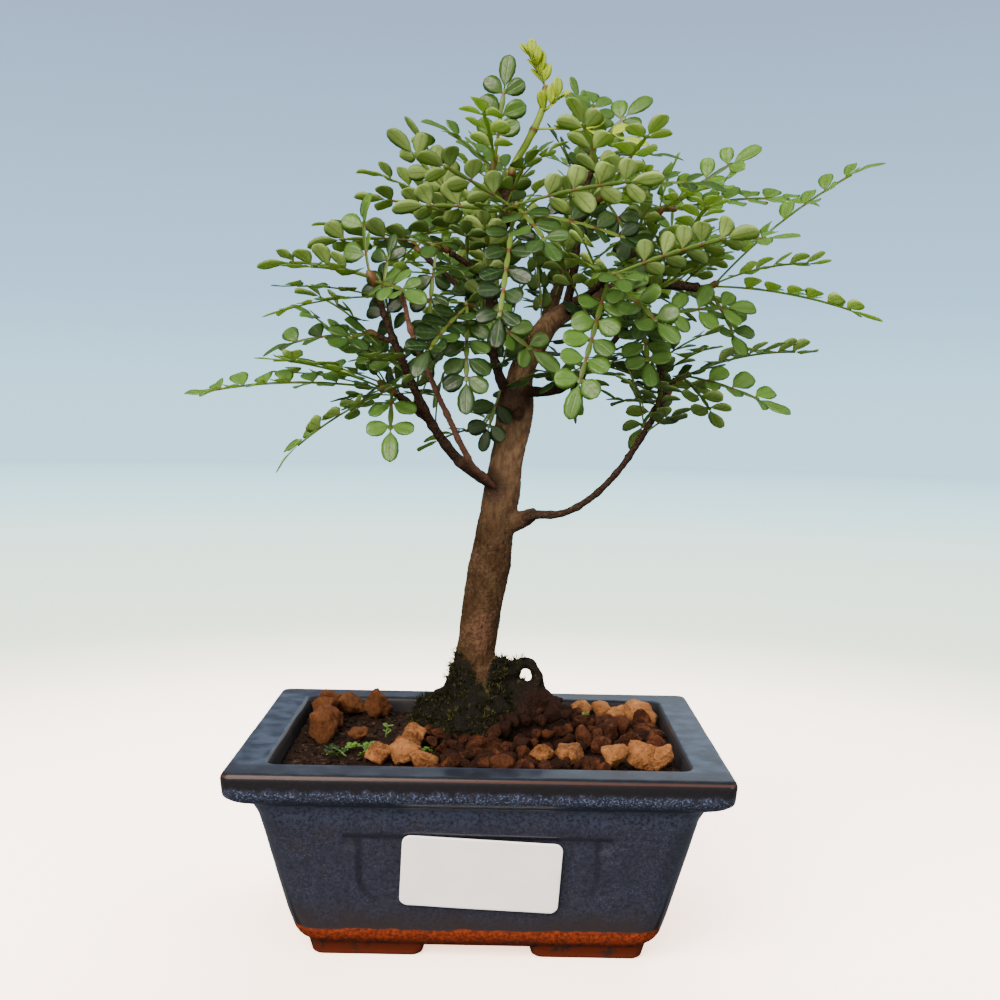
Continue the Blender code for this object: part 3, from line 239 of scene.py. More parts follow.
# Shoots: the bough end that bears each, its green stem's points and its leaves. A leaf is the share of
# the stem at its foot, its tip, its leaflet pairs and the direction that its glossy upper side faces.
# Plain shoots have fewer and larger leaflets, cut square.
UP = (0, 0, 1)
FACING = (0, -1, 0.5)
UNDERSIDE = (0, 0.75, 0.65)
SHOOTS = {
    "bright_leader": ("leader", [(9, -2, 202), (12.5, -2, 210), (13.5, -2.5, 216)], [
        (1.0, (7, -4, 226), 2, (0.4, -1, 0.2)),
        (0.55, (39, -10, 200), 3, (0, -0.6, 1)),
    ]),
    "front": ("leader_front", [(6.5, -19, 184)], [
        (0.7, (2, -42, 148), 4, (0, -1, 0.25)),
        (0.55, (-17, -32, 193), 3, UNDERSIDE),
        (1.0, (40, -34, 188), 3, UNDERSIDE),
        (0.4, (34, -36, 176), 3, (0.2, -0.8, 0.6)),
        (0.25, (-20, -27, 176), 3, UNDERSIDE),
        (0.85, (16, -40, 168), 3, FACING),
    ]),
    "right_front": ("front_low", [(30, -26, 167)], [
        (1.0, (60, -46, 175), 3, (0, 0.85, 0.5)),
        (0.56, (19, -44, 133), 4, (0, -1, 0.2)),
        (0.34, (45, -40, 148), 3, FACING),
        (0.78, (34, -52, 156), 2, FACING),
    ]),
    "centre_low": ("low_right", [(38.5, -8, 163)], [
        (0.55, (42, -30, 138), 3, FACING),
        (1.0, (56, -28, 171), 2, UP),
    ]),
    "low_left": ("low_left_side", [(-27, -17, 139)], [
        (1.0, (-76, -10, 136), 5, (0, -0.35, 1)),
        (0.56, (-55, -8, 125), 3, (0.3, 0.2, 1)),
        (0.78, (-57, -26, 143), 3, UP),
        (0.34, (-27, -30, 122), 2, FACING),
    ]),
    "left": ("low_left_spur", [(-30, -18, 152.5)], [
        (0.71, (-55, -23, 144), 3, (0, -0.45, 1)),
        (1.0, (-58, -18, 156), 3, (0, 0.5, 1)),
        (0.42, (-36, -38, 148), 2, FACING),
    ]),
    "left_upper": ("low_left", [(-29, -23.5, 167)], [
        (0.78, (-57, -14, 169), 3, (0, 0.4, 1)),
        (0.56, (-49, -38, 166), 3, UP),
        (1.0, (-38, -28, 186), 2, (-0.6, -0.4, 0.5)),
        (0.34, (-14, -42, 158), 2, FACING),
    ]),
    "mid_left": ("leader_left", [(-15, -13, 175)], [
        (1.0, (-47, -14, 180), 3, (0, 0.6, 1)),
        (0.71, (-26, -32, 150), 3, (-0.4, -0.9, 0.4)),
        (0.42, (-14, -38, 170), 2, FACING),
    ]),
    "centre_front": ("leader_low", [(-5.5, -18, 160)], [
        (0.71, (-22, -36, 142), 3, (-0.2, -1, 0.5)),
        (1.0, (-6, -38, 136), 3, FACING),
        (0.42, (16, -30, 150), 2, FACING),
    ]),
    "upper_left": ("leader_west", [(-6, -2, 183)], [
        (1.0, (-35, -2, 187), 3, (0, 0.5, 1)),
        (0.42, (-30, 8, 175), 3, UP),
        (0.71, (-24, -22, 196), 3, UNDERSIDE),
    ]),
    "apex_left": ("leader_side", [(1, -6, 198)], [
        (1.0, (4, -8, 222), 2, (0, -0.5, 0.3)),
        (0.56, (-17, -13, 205), 3, (0, -0.5, 1)),
        (0.34, (-15, 10, 202), 3, UP),
        (0.78, (-6, -30, 208), 2, (0, -0.7, 0.8)),
    ]),
    "top_right": ("top_right", [(25.5, -1, 203)], [
        (1.0, (22, 2, 225), 2, (0.2, -1, 0.3)),
        (0.71, (40, -2, 214), 3, (0, -0.9, 0.6)),
        (0.42, (46, -12, 203), 3, (0, -0.4, 1)),
    ]),
    "top_front": ("top_right_front", [(30, -12, 189)], [
        (1.0, (56, -24, 188), 3, (0.1, -0.6, 1)),
        (0.78, (40, -34, 202), 3, (0, 0.4, 1)),
        (0.56, (20, -32, 202), 2, UP),
        (0.34, (48, -20, 172), 2, FACING),
    ]),
    "right_upper": ("right_up", [(49, 10, 187.5)], [
        (0.56, (70, 6, 203), 3, (0, -0.7, 0.6)),
        (1.0, (87, 11, 190), 3, (0, -0.55, 1)),
        (0.78, (64, 28, 196), 3, UP),
        (0.34, (62, -14, 188), 3, (0, -0.5, 1)),
    ]),
    "right_centre": ("main_front", [(50, -4, 175.5)], [
        (1.0, (76, -16, 177), 3, (0, -0.5, 1)),
        (0.42, (62, -30, 166), 3, FACING),
        (0.71, (50, -34, 187), 2, UP),
    ]),
    "right_outer": ("main", [(60, 7, 168.5)], [
        (1.0, (101, 0, 197), 4, (-0.5, -0.3, 1)),
        (0.56, (100, -5, 158), 4, (0, 0.2, 1)),
        (0.78, (95, 30, 176), 3, (0, 0.3, 1)),
        (0.34, (63, -14, 148), 3, (0.3, -1, 0.3)),
    ]),
    "right_low": ("right_low_spur", [(51, -10, 144)], [
        (1.0, (92, 8, 156), 3, (0, 0.3, 1)),
        (0.71, (74, -20, 134), 3, (0.2, -0.6, 0.8)),
        (0.42, (62, 10, 130), 2, UP),
    ]),
    "right_inner": ("right_low", [(39.5, -13, 160)], [
        (0.71, (64, -26, 152), 3, FACING),
        (1.0, (30, -34, 158), 2, FACING),
        (0.42, (56, 8, 160), 2, UP),
    ]),
    "crown_back_right": ("top_back", [(30, 39, 199)], [
        (1.0, (44, 46, 214), 2, UP),
        (0.78, (16, 50, 211), 2, UP),
        (0.56, (52, 30, 200), 2, UP),
    ], "plain"),
    "crown_back_left": ("crown_back", [(4, 39, 195)], [
        (1.0, (-16, 44, 208), 2, UP),
        (0.42, (-2, 60, 184), 2, UP),
        (0.71, (-3, 26, 211), 2, UP),
    ], "plain"),
    "crown_inner_left": ("inner_back", [(-7, 19, 185)], [
        (1.0, (-37, 25, 199), 3, (0, 0.2, 1)),
        (0.71, (-24, 6, 208), 2, UP),
        (0.42, (-34, 26, 178), 2, UP),
    ], "plain"),
    "back_left": ("back_left", [(-23, 39, 181)], [
        (1.0, (-52, 42, 186), 2, UP),
        (0.78, (-30, 60, 172), 2, UP),
        (0.56, (-14, 52, 192), 2, UP),
    ], "plain"),
    "back_right": ("back_right", [(54, 42, 178)], [
        (1.0, (80, 48, 184), 2, UP),
        (0.78, (52, 62, 168), 2, UP),
        (0.56, (34, 56, 180), 2, UP),
    ], "plain"),
    "left_back": ("low_left_back", [(-29, 8, 141)], [
        (1.0, (-58, 14, 146), 2, UP),
        (0.78, (-42, 30, 132), 2, UP),
        (0.34, (-20, 24, 152), 2, UP),
    ], "plain"),
    "low_back": ("trunk_back", [(-2, 26, 130)], [
        (0.71, (-20, 38, 121), 2, UP),
        (1.0, (4, 50, 134), 2, UP),
        (0.42, (14, 34, 146), 2, UP),
    ], "plain"),
    "right_low_back": ("right_low_back", [(48, 9, 140)], [
        (0.71, (40, 26, 124), 2, UP),
        (1.0, (62, 32, 140), 2, UP),
        (0.42, (26, 22, 140), 2, UP),
    ], "plain"),
}

# Leaves: a winged midrib with leaflets in pairs and one at the tip
BLADE = 0.7
TEST_BLADE = 1.5
TEST_GROWTH = 1.12
STEM_SIDES = 5
STEM_GAP = 0.345
STEM_START = 1.6
STEM_MARGIN = 1.0
STEM_RADIUS = (0.85, 0.65)
WING_HALF = 0.8
STALK_HALF = 0.5
STALK_SHARE = 0.24
LEAST_STALK = 4.5
LONE_SPACING = 6.5
ARCH = 0.10
LEAFLET_BASE = 1.7
LEAFLET_LENGTH = (5.0, 8.2)
LEAFLET_PER_SPACING = 1.12
WIDTH_PER_SPACING = 0.80
WIDEST_LEAFLET = 6.0
BROADEST = 0.66
PLAIN_LEAFLET = (8.0, 6.0)
PLAIN_BROADEST = 0.9
TERMINAL_LENGTH = 8.4
TERMINAL_WIDTH = 4.6
TERMINAL_BROADEST = 0.55
TERMINAL_NECK = 1.4
LEAN = math.radians(24)
FOLD = (math.radians(8), math.radians(34))
LEAST_SPACING = 5.0
TRIES = 140
SWING = (0.05, 0.018, 0.7)
CLEAR_OF_STEM = 1.7
CLEAR_OF_SIBLINGS = 4.2
GROWTH_SEED = 2

# Meshes as plain lists: points in millimetres and faces that point out


def tube(points, radii, sides):
    """A tube of flat-sided rings along a centre line, closed by flat ends."""
    points = [Vector(point) for point in points]
    directions = [(b - a).normalized() for a, b in zip(points, points[1:])]
    across = directions[0].orthogonal().normalized()
    verts = []
    for index, (point, radius) in enumerate(zip(points, radii)):
        before = directions[max(index - 1, 0)]
        after = directions[min(index, len(directions) - 1)]
        along = (before + after).normalized()
        across = (across - along * across.dot(along)).normalized()
        other = along.cross(across)
        for side in range(sides):
            angle = 2 * math.pi * side / sides
            verts.append(point + (across * math.cos(angle) + other * math.sin(angle)) * radius)
    faces = [tuple(reversed(range(sides)))]
    for ring in range(len(points) - 1):
        for side in range(sides):
            low = ring * sides
            step = (side + 1) % sides
            faces.append((low + side, low + step, low + sides + step, low + sides + side))
    faces.append(tuple(range(len(verts) - sides, len(verts))))
    return verts, faces


def bough_tube(rows):
    """The wood along one route, with fewer sides on thin twigs."""
    sides = BOUGH_SIDES if rows[0][3] >= STOUT_BOUGH else TWIG_SIDES
    return tube([row[:3] for row in rows], [row[3] for row in rows], TRUNK_SIDES if rows is TRUNK else sides)


def thicken(middle, normals, triangles, thickness):
    """A closed blade about a middle surface, split into the same triangles on both faces."""
    half = thickness / 2
    count = len(middle)
    verts = [point + normal * half for point, normal in zip(middle, normals)]
    verts += [point - normal * half for point, normal in zip(middle, normals)]
    faces = list(triangles)
    faces += [(a + count, c + count, b + count) for a, b, c in triangles]
    edges = {(t[i], t[(i + 1) % 3]) for t in triangles for i in range(3)}
    for a, b in sorted(edges):
        if (b, a) not in edges:
            faces.append((b, a, a + count))
            faces.append((b, a + count, b + count))
    return verts, faces


class Midrib:
    """The arched midrib of one leaf, from the stem to its tip."""

    def __init__(self, foot, tip, facing):
        self.foot = Vector(foot)
        self.tip = Vector(tip)
        chord = self.tip - self.foot
        self.length = chord.length
        along = chord / self.length
        facing = Vector(facing)
        self.face = (facing - along * facing.dot(along)).normalized()
        self.crest = (self.foot + self.tip) / 2 + self.face * (ARCH * self.length)

    def at(self, share):
        """The point, direction, side and upper normal at a share of the midrib."""
        rest = 1 - share
        point = self.foot * rest**2 + self.crest * (2 * rest * share) + self.tip * share**2
        along = (self.crest - self.foot) * rest + (self.tip - self.crest) * share
        along = along.normalized()
        normal = (self.face - along * self.face.dot(along)).normalized()
        return point, along, along.cross(normal), normal


def pair_shares(length, pairs):
    """Where the leaflet pairs stand along the midrib, with the distance between them."""
    first = max(STALK_SHARE, LEAST_STALK / length)
    last = 1 - (TERMINAL_LENGTH + TERMINAL_NECK) / length
    room = (last - first) * length
    pairs = max(1, min(pairs, 1 + int(room / LEAST_SPACING)))
    spacing = room / (pairs - 1) if pairs > 1 else LONE_SPACING
    shares = [first + (last - first) * i / max(pairs - 1, 1) for i in range(pairs)]
    if pairs == 1:
        shares = [last]
    return shares, spacing


def leaf(foot, tip, facing, pairs, fold, plain, thickness=BLADE, growth=1.0, start=0.0):
    """One compound leaf as a thin arched blade whose outline is cut into leaflets."""
    midrib = Midrib(foot, tip, facing)
    shares, spacing = pair_shares(midrib.length, pairs)
    half_base = LEAFLET_BASE / 2 / midrib.length
    middle = []
    normals = []
    triangles = []

    def put(point, normal):
        middle.append(point)
        normals.append(normal.normalized())
        return len(middle) - 1

    def station(share, half_width):
        point, _, side, normal = midrib.at(share)
        reach = side * half_width
        return put(point - reach, normal), put(point + reach, normal)

    def blade(low, high, along, out, length, width, turn):
        """A leaflet on the edge from low to high, pointing out, its left edge towards `along`."""
        centre = (middle[low] + middle[high]) / 2
        normal = along.cross(out) * turn
        broadest = PLAIN_BROADEST if plain else BROADEST
        near = put(centre + out * (broadest * length) - along * (width / 2), normal)
        far = put(centre + out * (broadest * length) + along * (width / 2), normal)
        corners = [(low, near, high), (near, far, high)]
        if not plain:
            corners.append((near, put(centre + out * length, normal), far))
        for a, b, c in corners:
            triangles.append((a, b, c) if turn < 0 else (a, c, b))

    length = min(max(spacing * LEAFLET_PER_SPACING, LEAFLET_LENGTH[0]), LEAFLET_LENGTH[1])
    width = min(spacing * WIDTH_PER_SPACING, WIDEST_LEAFLET)
    if plain:
        length, width = PLAIN_LEAFLET
    length *= growth
    width *= growth
    left, right = station(start, STALK_HALF)
    for share in shares:
        near_left, near_right = station(share - half_base, WING_HALF)
        far_left, far_right = station(share + half_base, WING_HALF)
        triangles += [(left, right, near_right), (left, near_right, near_left)]
        triangles += [(near_left, near_right, far_right), (near_left, far_right, far_left)]
        _, along, side, normal = midrib.at(share)
        for turn, low, high in ((1, near_right, far_right), (-1, near_left, far_left)):
            raised = side * (turn * math.cos(fold)) + normal * math.sin(fold)
            out = raised * math.cos(LEAN) + along * math.sin(LEAN)
            forward = along * math.cos(LEAN) - raised * math.sin(LEAN)
            blade(low, high, forward, out, length, width, -turn)
        left, right = far_left, far_right
    end_share = 1 - TERMINAL_LENGTH / midrib.length
    neck_left, neck_right = station(end_share, WING_HALF)
    triangles += [(left, right, neck_right), (left, neck_right, neck_left)]
    _, along, side, normal = midrib.at(end_share)
    reach = TERMINAL_LENGTH * growth
    spread = side * (TERMINAL_WIDTH * growth / 2)
    centre = (middle[neck_left] + middle[neck_right]) / 2
    near_left = put(centre + along * (TERMINAL_BROADEST * reach) - spread, normal)
    near_right = put(centre + along * (TERMINAL_BROADEST * reach) + spread, normal)
    end = put(midrib.at(1.0)[0] if growth == 1.0 else centre + along * reach, normal)
    triangles += [(neck_left, neck_right, near_right), (neck_left, near_right, near_left)]
    triangles.append((near_left, near_right, end))
    return thicken(middle, normals, triangles, thickness)


# Growth: every leaf takes the first place near its own that clears the wood and the other leaves


class Shoot:
    """One leafy stem: where it starts, its stem's points and the leaves that found room."""

    def __init__(self, name, bough, points):
        self.name = name
        rows = BOUGHS[bough]
        last = Vector(rows[-1][:3])
        way = (last - Vector(rows[-2][:3])).normalized()
        self.points = [last + way * STEM_GAP, last + way * STEM_START]
        self.points += [Vector(point) for point in points]
        self.plain = "plain" in SHOOTS[name]
        self.leaves = []
        self.trees = []
        self.stem_tree = tree_of(self.stem())

    def radii(self):
        count = len(self.points)
        thick, thin = STEM_RADIUS
        return [thick + (thin - thick) * i / (count - 1) for i in range(count)]

    def stem(self):
        return tube(self.points, self.radii(), STEM_SIDES)

    def at(self, share):
        """The point at a share of the stem, kept inside its end."""
        spans = [(b - a).length for a, b in zip(self.points, self.points[1:])]
        distance = share * (sum(spans) - STEM_MARGIN)
        for a, b, span in zip(self.points, self.points[1:], spans):
            if distance <= span:
                return a.lerp(b, distance / span)
            distance -= span
        return self.points[-1].copy()


def tree_of(mesh):
    return BVHTree.FromPolygons(*mesh)


def has_room(shoot, row, wood_tree, shoots):
    """Whether a slightly larger and thicker copy of the leaf touches nothing."""
    length = (row[1] - row[0]).length
    test = tree_of(leaf(*row, thickness=TEST_BLADE, growth=TEST_GROWTH, start=CLEAR_OF_STEM / length))
    if test.overlap(wood_tree):
        return False
    others = [other for other in shoots if other is not shoot]
    if any(test.overlap(tree) for other in others for tree in [other.stem_tree, *other.trees]):
        return False
    outer = tree_of(leaf(*row, thickness=TEST_BLADE, growth=TEST_GROWTH, start=CLEAR_OF_SIBLINGS / length))
    return not any(outer.overlap(tree) for tree in shoot.trees)


def nudged(row, draw, attempt):
    """A leaf row turned a little about its foot, further with each attempt."""
    foot, tip, *rest = row
    if attempt == 0:
        return row
    reach = (tip - foot).length
    swing = reach * min(SWING[0] + SWING[1] * attempt, SWING[2])
    moved = tip + Vector((draw.uniform(-0.5, 0.5), draw.uniform(-1, 1), draw.uniform(-0.5, 0.5))) * swing
    return foot, foot + (moved - foot).normalized() * reach, *rest


def placed(shoot, row, draw, wood_tree, shoots):
    """Adds the leaf at the first clear place, if there is one."""
    for attempt in range(TRIES):
        tried = nudged(row, draw, attempt)
        if has_room(shoot, tried, wood_tree, shoots):
            shoot.leaves.append(tried)
            shoot.trees.append(tree_of(leaf(*tried)))
            return


def joined(meshes):
    """Several meshes as the points and faces of one."""
    verts = []
    faces = []
    for points, polygons in meshes:
        faces += [tuple(i + len(verts) for i in polygon) for polygon in polygons]
        verts += points
    return verts, faces


def grow():
    """All the shoots with their leaves."""
    wood_tree = tree_of(joined([bough_tube(rows) for rows in [TRUNK, *BOUGHS.values()]]))
    shoots = [Shoot(name, row[0], row[1]) for name, row in SHOOTS.items()]
    for number, shoot in enumerate(shoots):
        draw = random.Random(GROWTH_SEED * 1000 + number)
        for share, tip, pairs, facing in SHOOTS[shoot.name][2]:
            row = (shoot.at(share), Vector(tip), Vector(facing), pairs, draw.uniform(*FOLD), shoot.plain)
            placed(shoot, row, draw, wood_tree, shoots)
    return shoots


# Numbers over many points at once


def lumps(points, size, seed=0):
    """Smooth noise between -1 and 1 with features of one size, or one size for each axis."""
    place = np.asarray(points, float) / np.asarray(size, float) + 31.7 * (seed + 1)
    cell = np.floor(place).astype(np.int64)
    share = place - cell
    share = share * share * (3 - 2 * share)
    total = np.zeros(len(place))
    for corner in itertools.product((0, 1), repeat=3):
        x, y, z = (cell + corner).T
        mixed = (x * 73856093) ^ (y * 19349663) ^ (z * 83492791) ^ (seed * 2654435761)
        mixed = ((mixed & 0xFFFFFFFF) * 1274126177) & 0xFFFFFFFF
        mixed = ((mixed ^ (mixed >> 15)) * 2246822519) & 0xFFFFFFFF
        mixed ^= mixed >> 13
        weight = np.prod(np.where(corner, share, 1 - share), axis=1)
        total += weight * (mixed / 0x7FFFFFFF - 1)
    return total


def eased(values, start, end):
    """0 before start, 1 after end and a smooth rise between them."""
    share = np.clip((np.asarray(values, float) - start) / (end - start), 0, 1)
    return share * share * (3 - 2 * share)


def row_array(vectors):
    return np.array([tuple(vector) for vector in vectors], float)


def unit(vector):
    return vector / np.linalg.norm(vector)


def turns(count):
    """Even angles once round."""
    return 2 * math.pi * np.arange(count) / count


def smooth_line(rows, spacing):
    """A smooth route through rows of x, y, z and any further values, with even steps."""
    rows = np.asarray(rows, float)
    spans = np.linalg.norm(np.diff(rows[:, :3], axis=0), axis=1)
    slopes = np.diff(rows, axis=0) / spans[:, None]
    inner = slopes[:-1] * spans[1:, None] + slopes[1:] * spans[:-1, None]
    inner /= (spans[1:] + spans[:-1])[:, None]
    tangents = np.vstack([slopes[:1], inner, slopes[-1:]])
    parts = []
    for i, span in enumerate(spans):
        steps = max(2, int(math.ceil(span / spacing)))
        t = np.linspace(0, 1, steps, endpoint=False)[:, None]
        from_low = (2 * t**3 - 3 * t**2 + 1) * rows[i] + (t**3 - 2 * t**2 + t) * tangents[i] * span
        from_high = (3 * t**2 - 2 * t**3) * rows[i + 1] + (t**3 - t**2) * tangents[i + 1] * span
        parts.append(from_low + from_high)
    return np.vstack([*parts, rows[-1:]])


def travelled(points):
    """The distance from the first point to each point of a line."""
    return np.concatenate([[0], np.cumsum(np.linalg.norm(np.diff(points, axis=0), axis=1))])


def tube_rings(points, radii, sides):
    """Rings round a line, without twist."""
    points = np.asarray(points, float)
    along = np.gradient(points, axis=0)
    along /= np.linalg.norm(along, axis=1)[:, None]
    across = unit(np.cross(along[0], (0.3, 0.2, 1.0) if abs(along[0][2]) < 0.9 else (1.0, 0.2, 0.3)))
    angles = turns(sides)
    rings = []
    for point, direction, radius in zip(points, along, radii):
        across = unit(across - direction * across.dot(direction))
        other = np.cross(direction, across)
        ring = np.outer(np.cos(angles), across) + np.outer(np.sin(angles), other)
        rings.append(point + ring * radius)
    return np.array(rings)


# Bodies gathered into pieces


class Heap:
    """Closed bodies gathered for one piece, with the values that its material reads."""

    def __init__(self):
        self.points = []
        self.faces = []
        self.values = {}
        self.count = 0

    def add(self, points, *faces, **values):
        """Adds a body: its points, its arrays of faces and one row of numbers a point for each value."""
        points = np.asarray(points, float)
        for polygons in faces:
            self.faces.append(np.asarray(polygons, np.int64) + self.count)
        for name, rows in values.items():
            rows = np.broadcast_to(np.asarray(rows, float), (len(points), 3))
            self.values.setdefault(name, []).append(rows)
        self.points.append(points)
        self.count += len(points)

    def add_skin(self, rings, **values):
        """Adds a body through rings of points, closed by a fan at each end."""
        rings = np.asarray(rings, float)
        count, sides = rings.shape[:2]
        points = np.vstack([rings.reshape(-1, 3), rings[0].mean(0), rings[-1].mean(0)])
        around = np.arange(sides)
        after = (around + 1) % sides
        starts = np.arange(count - 1)[:, None] * sides
        low = (starts + around).ravel()
        step = (starts + after).ravel()
        quads = np.stack([low, step, step + sides, low + sides], 1)
        first = np.stack([np.full(sides, count * sides), after, around], 1)
        top = (count - 1) * sides
        last = np.stack([np.full(sides, count * sides + 1), top + around, top + after], 1)
        full = {}
        for name, rows in values.items():
            rows = np.asarray(rows, float)
            if rows.ndim == 3:
                rows = np.vstack([rows.reshape(-1, 3), rows[0].mean(0), rows[-1].mean(0)])
            full[name] = rows
        self.add(points, quads, first, last, **full)

    def mesh(self, name):
        """One Blender mesh in metres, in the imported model's frame."""
        data = bpy.data.meshes.new(name)
        points = (np.vstack(self.points) + SHIFT) * MM
        corners = np.concatenate([polygons.ravel() for polygons in self.faces])
        sizes = np.concatenate([np.full(len(polygons), polygons.shape[1]) for polygons in self.faces])
        data.vertices.add(len(points))
        data.vertices.foreach_set("co", points.astype(np.float32).ravel())
        data.loops.add(len(corners))
        data.loops.foreach_set("vertex_index", corners.astype(np.int32))
        data.polygons.add(len(sizes))
        starts = np.concatenate([[0], np.cumsum(sizes)[:-1]])
        data.polygons.foreach_set("loop_start", starts.astype(np.int32))
        data.update(calc_edges=True)
        for key, rows in self.values.items():
            layer = data.attributes.new(key, "FLOAT_VECTOR", "POINT")
            layer.data.foreach_set("vector", np.vstack(rows).astype(np.float32).ravel())
        return data

    def item(self, name, finish):
        """A smooth object with one finish, in the scene."""
        data = self.mesh(name)
        data.materials.append(finish)
        smooth(data)
        made = bpy.data.objects.new(name, data)
        bpy.context.scene.collection.objects.link(made)
        return made

    def piece(self, name, finish):
        """The same, riding on the plant."""
        made = self.item(name, finish)
        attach(made, "root")
        return made


def smooth(data):
    data.polygons.foreach_set("use_smooth", [True] * len(data.polygons))


def settled(piece):
    """Turns the modifiers' result into the piece's own mesh."""
    graph = bpy.context.evaluated_depsgraph_get()
    old = piece.data
    piece.data = bpy.data.meshes.new_from_object(piece.evaluated_get(graph))
    piece.modifiers.clear()
    bpy.data.meshes.remove(old)


def numbers_in(rows, key):
    """Three numbers for each row of a mesh's data."""
    numbers = np.empty(len(rows) * 3, np.float32)
    rows.foreach_get(key, numbers)
    return numbers.reshape(-1, 3).astype(float)


def points_of(data):
    """A mesh's points in millimetres, in the plant's own frame."""
    return numbers_in(data.vertices, "co") / MM - SHIFT


def set_points(data, points):
    data.vertices.foreach_set("co", ((points + SHIFT) * MM).astype(np.float32).ravel())
    data.update()


# Pot


CORNER_DETAIL = 9
LONG_DETAIL = 118
SHORT_DETAIL = 82
WALL_STEP = 0.78
INSIDE_STEP = 3.0
ROUNDING_STEPS = 3
PANEL_EDGE = 0.9
FOOT_DETAIL = 8
# Height and inset of each ring of a foot
FOOT_RINGS = ((0, 0.7), (0.12, 0.3), (0.42, 0.08), (0.7, 0), (4.0, -0.3))
DRAIN_SIDES = 40
DRAIN_HEIGHTS = (1.0, 4.0, 7.0, 10.0)
POT_SHARP_EDGE = math.radians(50)


CORNERS = ((1, 1), (-1, 1), (-1, -1), (1, -1))


def on_corner(number, share, half_x, half_y, radius):
    """The place a share of the way round one corner of a rounded rectangle."""
    angle = math.pi / 2 * (number + share)
    x, y = CORNERS[number % 4]
    return x * (half_x - radius) + radius * math.cos(angle), y * (half_y - radius) + radius * math.sin(angle)


def even_ring(height, *size):
    """A level rounded rectangle whose points match those of every other ring."""
    ring = []
    for corner in range(4):
        ring += [(*on_corner(corner, step / CORNER_DETAIL, *size), height) for step in range(CORNER_DETAIL)]
        start = Vector((*on_corner(corner, 1, *size), height))
        end = Vector((*on_corner(corner + 1, 0, *size), height))
        count = (LONG_DETAIL, SHORT_DETAIL)[corner % 2]
        ring += [tuple(start.lerp(end, step / count)) for step in range(count)]
    return ring


def rounded_profile(rows, reach):
    """Rows of height and sizes with each bend replaced by a short curve."""
    rows = [np.array(row, float) for row in rows]
    out = [rows[0]]
    for before, here, after in zip(rows, rows[1:], rows[2:]):
        back = min(reach, np.linalg.norm((before - here)[:3]) / 2.2)
        ahead = min(reach, np.linalg.norm((after - here)[:3]) / 2.2)
        start = here + (before - here) * back / np.linalg.norm((before - here)[:3])
        end = here + (after - here) * ahead / np.linalg.norm((after - here)[:3])
        for step in range(ROUNDING_STEPS + 1):
            t = step / ROUNDING_STEPS
            out.append(start * (1 - t) ** 2 + here * (2 * t * (1 - t)) + end * t * t)
    return out + [rows[-1]]


def filled(rows, spacing):
    """The same profile with rows no further apart than the spacing."""
    out = []
    for low, high in zip(rows, rows[1:]):
        steps = max(1, int(math.ceil(np.linalg.norm((high - low)[:3]) / spacing)))
        out += [low + (high - low) * step / steps for step in range(steps)]
    return out + [rows[-1]]


def panel_outline():
    """The recessed window: across and up the face, with rounded lower corners."""
    outline = []
    for step in range(2 * CORNER_DETAIL + 1):
        angle = math.pi / 2 * (step / (2 * CORNER_DETAIL) - 1)
        x = PANEL_HALF - PANEL_CORNER * (1 - math.cos(angle))
        y = PANEL_BOTTOM + PANEL_CORNER * (1 + math.sin(angle))
        outline.append((x, y))
    outline.append((PANEL_HALF, PANEL_TOP - PANEL_STEP))
    outline.append((PANEL_TOP_HALF, PANEL_TOP - PANEL_STEP + 1.5))
    outline.append((PANEL_TOP_HALF, PANEL_TOP))
    return outline + [(-x, y) for x, y in reversed(outline)]


def inside_by(points, outline):
    """How far each flat point lies inside a closed outline, negative outside it."""
    outline = np.array(outline, float)
    nearest = np.full(len(points), np.inf)
    inside = np.zeros(len(points), bool)
    for start, end in zip(outline, np.roll(outline, -1, axis=0)):
        edge = end - start
        t = np.clip(((points - start) @ edge) / max(edge @ edge, 1e-12), 0, 1)
        gap = np.linalg.norm(points - start - t[:, None] * edge, axis=1)
        nearest = np.minimum(nearest, gap)
        crosses = (start[1] > points[:, 1]) != (end[1] > points[:, 1])
        rise = edge[1] if edge[1] else 1e-12
        at_x = start[0] + edge[0] * (points[:, 1] - start[1]) / rise
        inside ^= crosses & (points[:, 0] < at_x)
    return np.where(inside, nearest, -nearest)


def face_frame(side):
    """A point, across, up the slope and outward, on one long face of the pot."""
    low = np.array((0, side * FACE_LOW[1], FACE_LOW[0]))
    high = np.array((0, side * FACE_HIGH[1], FACE_HIGH[0]))
    across = np.array((-side, 0, 0))
    up = unit(high - low)
    return low, across, up, np.cross(across, up)


